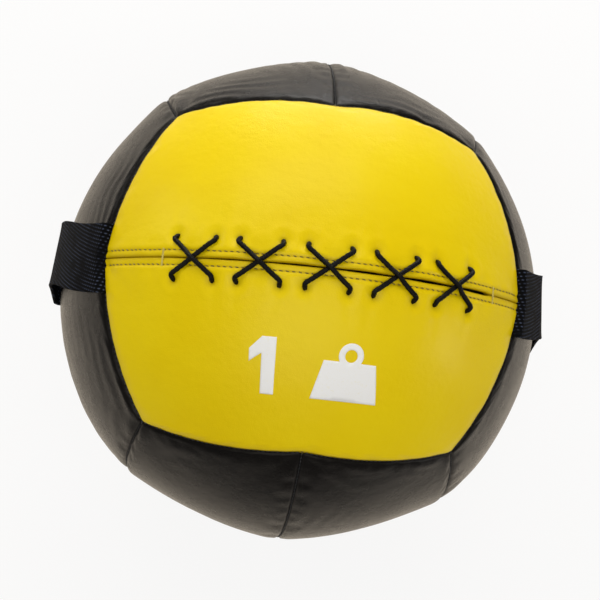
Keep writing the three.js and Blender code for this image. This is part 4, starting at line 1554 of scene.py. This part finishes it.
def strap_half(name, rows, start, end):
    part = rows[start : end + 1]
    count, width = part.shape[:2]
    along = lengths_along(rows[:, width // 2])[start : end + 1]
    across = np.linspace(0, WEBBING_WIDTH, width)
    faces = grid_faces(count, width)[:, [0, 3, 2, 1]]
    piece = smoothed(new_object(name, part.reshape(-1, 3), faces))
    uv = piece.data.uv_layers.new(name="UVMap")
    for loop in piece.data.loops:
        row, column = divmod(loop.vertex_index, width)
        uv.data[loop.index].uv = (across[column], along[row])
    return piece


# Each strap: its side, where it bends, a seed, how far it stands off, drifts and twists.
STRAPS = {
    "left": (-1, 0.72, 1.3, 3.9 * MM, 10.0 * MM, 2.4 * MM),
    "right": (1, 0.36, 4.1, 1.3 * MM, 8.5 * MM, 1.0 * MM),
}
SEWN_ROW = len(TAB_SHARES) + 1  # the first row out of the seam, counted from either end
for side, (sign, crease, seed, rise, drift, twist) in STRAPS.items():
    rows = strap_points(sign, crease, seed, rise, drift, twist)
    middle = SEWN_ROW + (STRAP_ALONG - 1) // 2
    halves = {"front": (0, middle, SEWN_ROW), "back": (middle, len(rows) - 1, -SEWN_ROW - 1)}
    for end, (start, stop, sewn) in halves.items():
        half = strap_half(f"{side}_handle_{end}_half", rows, start, stop)
        if sign > 0:
            half.data.flip_normals()
        half.data.materials.append(black_webbing)
        give_wall(half, "webbing", WEBBING_THICKNESS, 1)
        applied(half)
        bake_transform(half)
        replaced = [f"{side}_handle_{end}_tab"] + ([f"{side}_handle"] if end == "front" else [])
        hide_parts(*replaced)
print("straps made")

# %% [markdown]
# ## The printed weight mark
# The real ball carries its weight in a brushed white print. Here it is a plain block
# numeral and a simple picture of a weight. Each outline is filled with small triangles that
# are laid on the leather, so the film follows every swell of it.

# %% Print the mark
MARK_X = 2 * MM
MARK_Y = -62 * MM
MARK_HEIGHT = 36 * MM
FILM = 0.15 * MM
FILM_LIFT = 0.05 * MM
OUTLINE_STEP = 1.5 * MM
LONGEST_EDGE = 1.9 * MM


def numeral_outline():
    stem, flag, x = 9 * MM, 8 * MM, -32 * MM
    left, right = x - stem / 2, x + stem / 2
    foot, head = -MARK_HEIGHT / 2, MARK_HEIGHT / 2
    return [
        (left, foot),
        (right, foot),
        (right, head),
        (left, head),
        (left - flag, head - flag),
        (left - flag, head - 2 * flag),
        (left, head - flag - stem / 4),
    ]


def arc_points(x, y, radius, start, end, count):
    turns = np.linspace(start, end, count)
    return [(x + radius * math.cos(t), y + radius * math.sin(t)) for t in turns]


def pictogram_outline():
    base, top, body, ring, x = 46 * MM, 34 * MM, 25 * MM, 8 * MM, 20 * MM
    foot = -MARK_HEIGHT / 2
    shoulder = foot + body
    dip = math.asin(0.5)
    eye = shoulder + ring * math.sin(dip)
    outline = [(x - base / 2, foot), (x + base / 2, foot), (x + top / 2, shoulder)]
    outline += arc_points(x, eye, ring, -dip, math.pi + dip, 32)
    outline += [(x - top / 2, shoulder)]
    return outline, arc_points(x, eye, 4 * MM, 0, 2 * math.pi, 25)[:-1]


def filled_outline(outline, hole):
    """A flat mesh of small triangles inside an outline and outside its hole."""
    form = bmesh.new()
    for loop in [outline] + ([hole] if hole else []):
        ring = []
        for (x, y), (nx, ny) in zip(loop, loop[1:] + loop[:1]):
            count = max(1, int(math.hypot(nx - x, ny - y) / OUTLINE_STEP))
            for s in range(count):
                t = s / count
                ring.append(form.verts.new((x + (nx - x) * t, y + (ny - y) * t, 0)))
        for pair in zip(ring, ring[1:] + ring[:1]):
            form.edges.new(pair)
    bmesh.ops.triangle_fill(form, use_beauty=True, use_dissolve=False, edges=form.edges[:])
    for _ in range(3):
        inner = [edge for edge in form.edges if not edge.is_boundary]
        long_edges = [edge for edge in inner if edge.calc_length() > LONGEST_EDGE]
        bmesh.ops.subdivide_edges(form, edges=long_edges, cuts=1)
        bmesh.ops.triangulate(form, faces=form.faces[:])
    return form


def printed(name, outline, hole, node):
    form = filled_outline(outline, hole)
    spots = np.array([v.co for v in form.verts])
    ways = front_direction(spots[:, 0] + MARK_X, spots[:, 1] + MARK_Y)
    for vert, place in zip(form.verts, on_cover(ways, FILM_LIFT)):
        vert.co = place
    bmesh.ops.recalc_face_normals(form, faces=form.faces[:])
    mesh = bpy.data.meshes.new(name)
    form.to_mesh(mesh)
    form.free()
    if sum(p.normal.z for p in mesh.polygons) < 0:
        mesh.flip_normals()
    mesh.materials.append(white_print)
    film = smoothed(placed(name, mesh))
    give_wall(film, "film", FILM, 1)
    applied(film)
    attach(film, "ball")
    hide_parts(node)


printed("printed_numeral", numeral_outline(), None, "weight_mark_numeral")
pictogram, eye_hole = pictogram_outline()
printed("printed_pictogram", pictogram, eye_hole, "weight_mark_pictogram")
print("mark printed")

# %% [markdown]
# ## The studio
# The ball lies on a pale floor. The key lamp is large and stands above the top edge, a low
# window lamp behind that edge puts the long highlights on the top panels, one small lamp on
# each side picks out the straps, and a broad fill beside the camera keeps the shade open.
# The floor is white to the camera and keeps the ball's shadow. In reflections its light is
# warm and fades beyond a quarter of a metre, as it would on a small table, so the black
# panels stay deep where they face the room and brighten only towards their outer edge.

# %% Floor, lamps and world
TABLE_EDGE = 0.26
ROOM_EDGE = 0.75
TABLE_GLOW = (1.0, 0.87, 0.70, 1)


def floor_material():
    finish = Finish("studio_floor")
    pale = finish.mix(finish.noise(3, 2), (0.84, 0.80, 0.76, 1), (0.87, 0.84, 0.80, 1))
    finish.shade(Base_Color=pale, Roughness=0.8, Specular_IOR_Level=0.1)
    rays = finish.node("ShaderNodeLightPath").socket.node.outputs
    direct = Value(finish, rays["Is Camera Ray"])
    mirrored = Value(finish, rays["Is Glossy Ray"])
    through = Value(finish, rays["Is Transmission Ray"])
    x, y, _ = finish.parts(finish.place())
    near = 1.0 - finish.ramp(x * x + y * y, TABLE_EDGE**2, ROOM_EDGE**2)
    seen = direct.most(mirrored * near).most(through)
    light = {"Color": finish.mix(mirrored, (1, 1, 1, 1), TABLE_GLOW), "Strength": 1.0}
    glow = finish.node("ShaderNodeEmission", None, light)
    plain = Value(finish, finish.shader.outputs[0])
    blend = finish.node("ShaderNodeMixShader", None, {0: seen * 0.85, 1: plain, 2: glow})
    finish.set(finish.tree.nodes["Material Output"].inputs["Surface"], blend)
    return finish.material


FLOOR_HALF = 15
floor_corners = [(x * FLOOR_HALF, y * FLOOR_HALF, 0) for x, y in ((-1, -1), (1, -1), (1, 1), (-1, 1))]
floor = new_object("floor", floor_corners, [(0, 1, 2, 3)])
floor.data.materials.append(floor_material())
floor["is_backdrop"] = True

world = bpy.data.worlds.new("studio")
world.use_nodes = True
sky = world.node_tree.nodes["Background"].inputs
sky["Color"].default_value = (1.0, 0.97, 0.93, 1)
sky["Strength"].default_value = 0.24
bpy.context.scene.world = world


def lamp(name, right, up, back, distance, width, height, power):
    """A soft lamp in a direction given in the camera's axes, aimed at the ball."""
    way = (VIEW @ Vector((right, up, back))).normalized()
    data = bpy.data.lights.new(name, "AREA")
    data.shape = "RECTANGLE"
    data.size = width
    data.size_y = height
    data.energy = power
    light = placed(name, data)
    place = Vector(CENTRE) + way * distance
    aim = (-way).to_track_quat("-Z", "Y").to_matrix().to_4x4()
    light.matrix_world = Matrix.Translation(place) @ aim


lamp("key", 0.0, 0.80, 0.60, 1.8, 1.6, 0.6, 12)
lamp("window", 0.12, 0.99, -0.02, 1.2, 1.0, 0.2, 8.5)
lamp("right", 0.90, -0.30, 0.32, 1.5, 0.3, 0.5, 3)
lamp("left", -0.74, 0.56, 0.37, 1.5, 0.3, 0.6, 2.0)
lamp("fill", 0.0, -0.25, 0.97, 2.2, 1.6, 1.6, 20)
bpy.context.scene.view_settings.view_transform = "Standard"
print("studio lit")

# %% [markdown]
# ## The two boxes
# Both boxes, the CAD model's and the visual model's, are printed before the scene is closed.
# The visual model must keep to the CAD model's box, apart from a little for soft pieces.

# %% Print the two boxes
view_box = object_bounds()
sizes = {
    "cad": [list(corner_point) for corner_point in cad_box],
    "visual": [list(corner_point) for corner_point in view_box],
}
print("CAD box", sizes["cad"])
print("visual box", sizes["visual"])
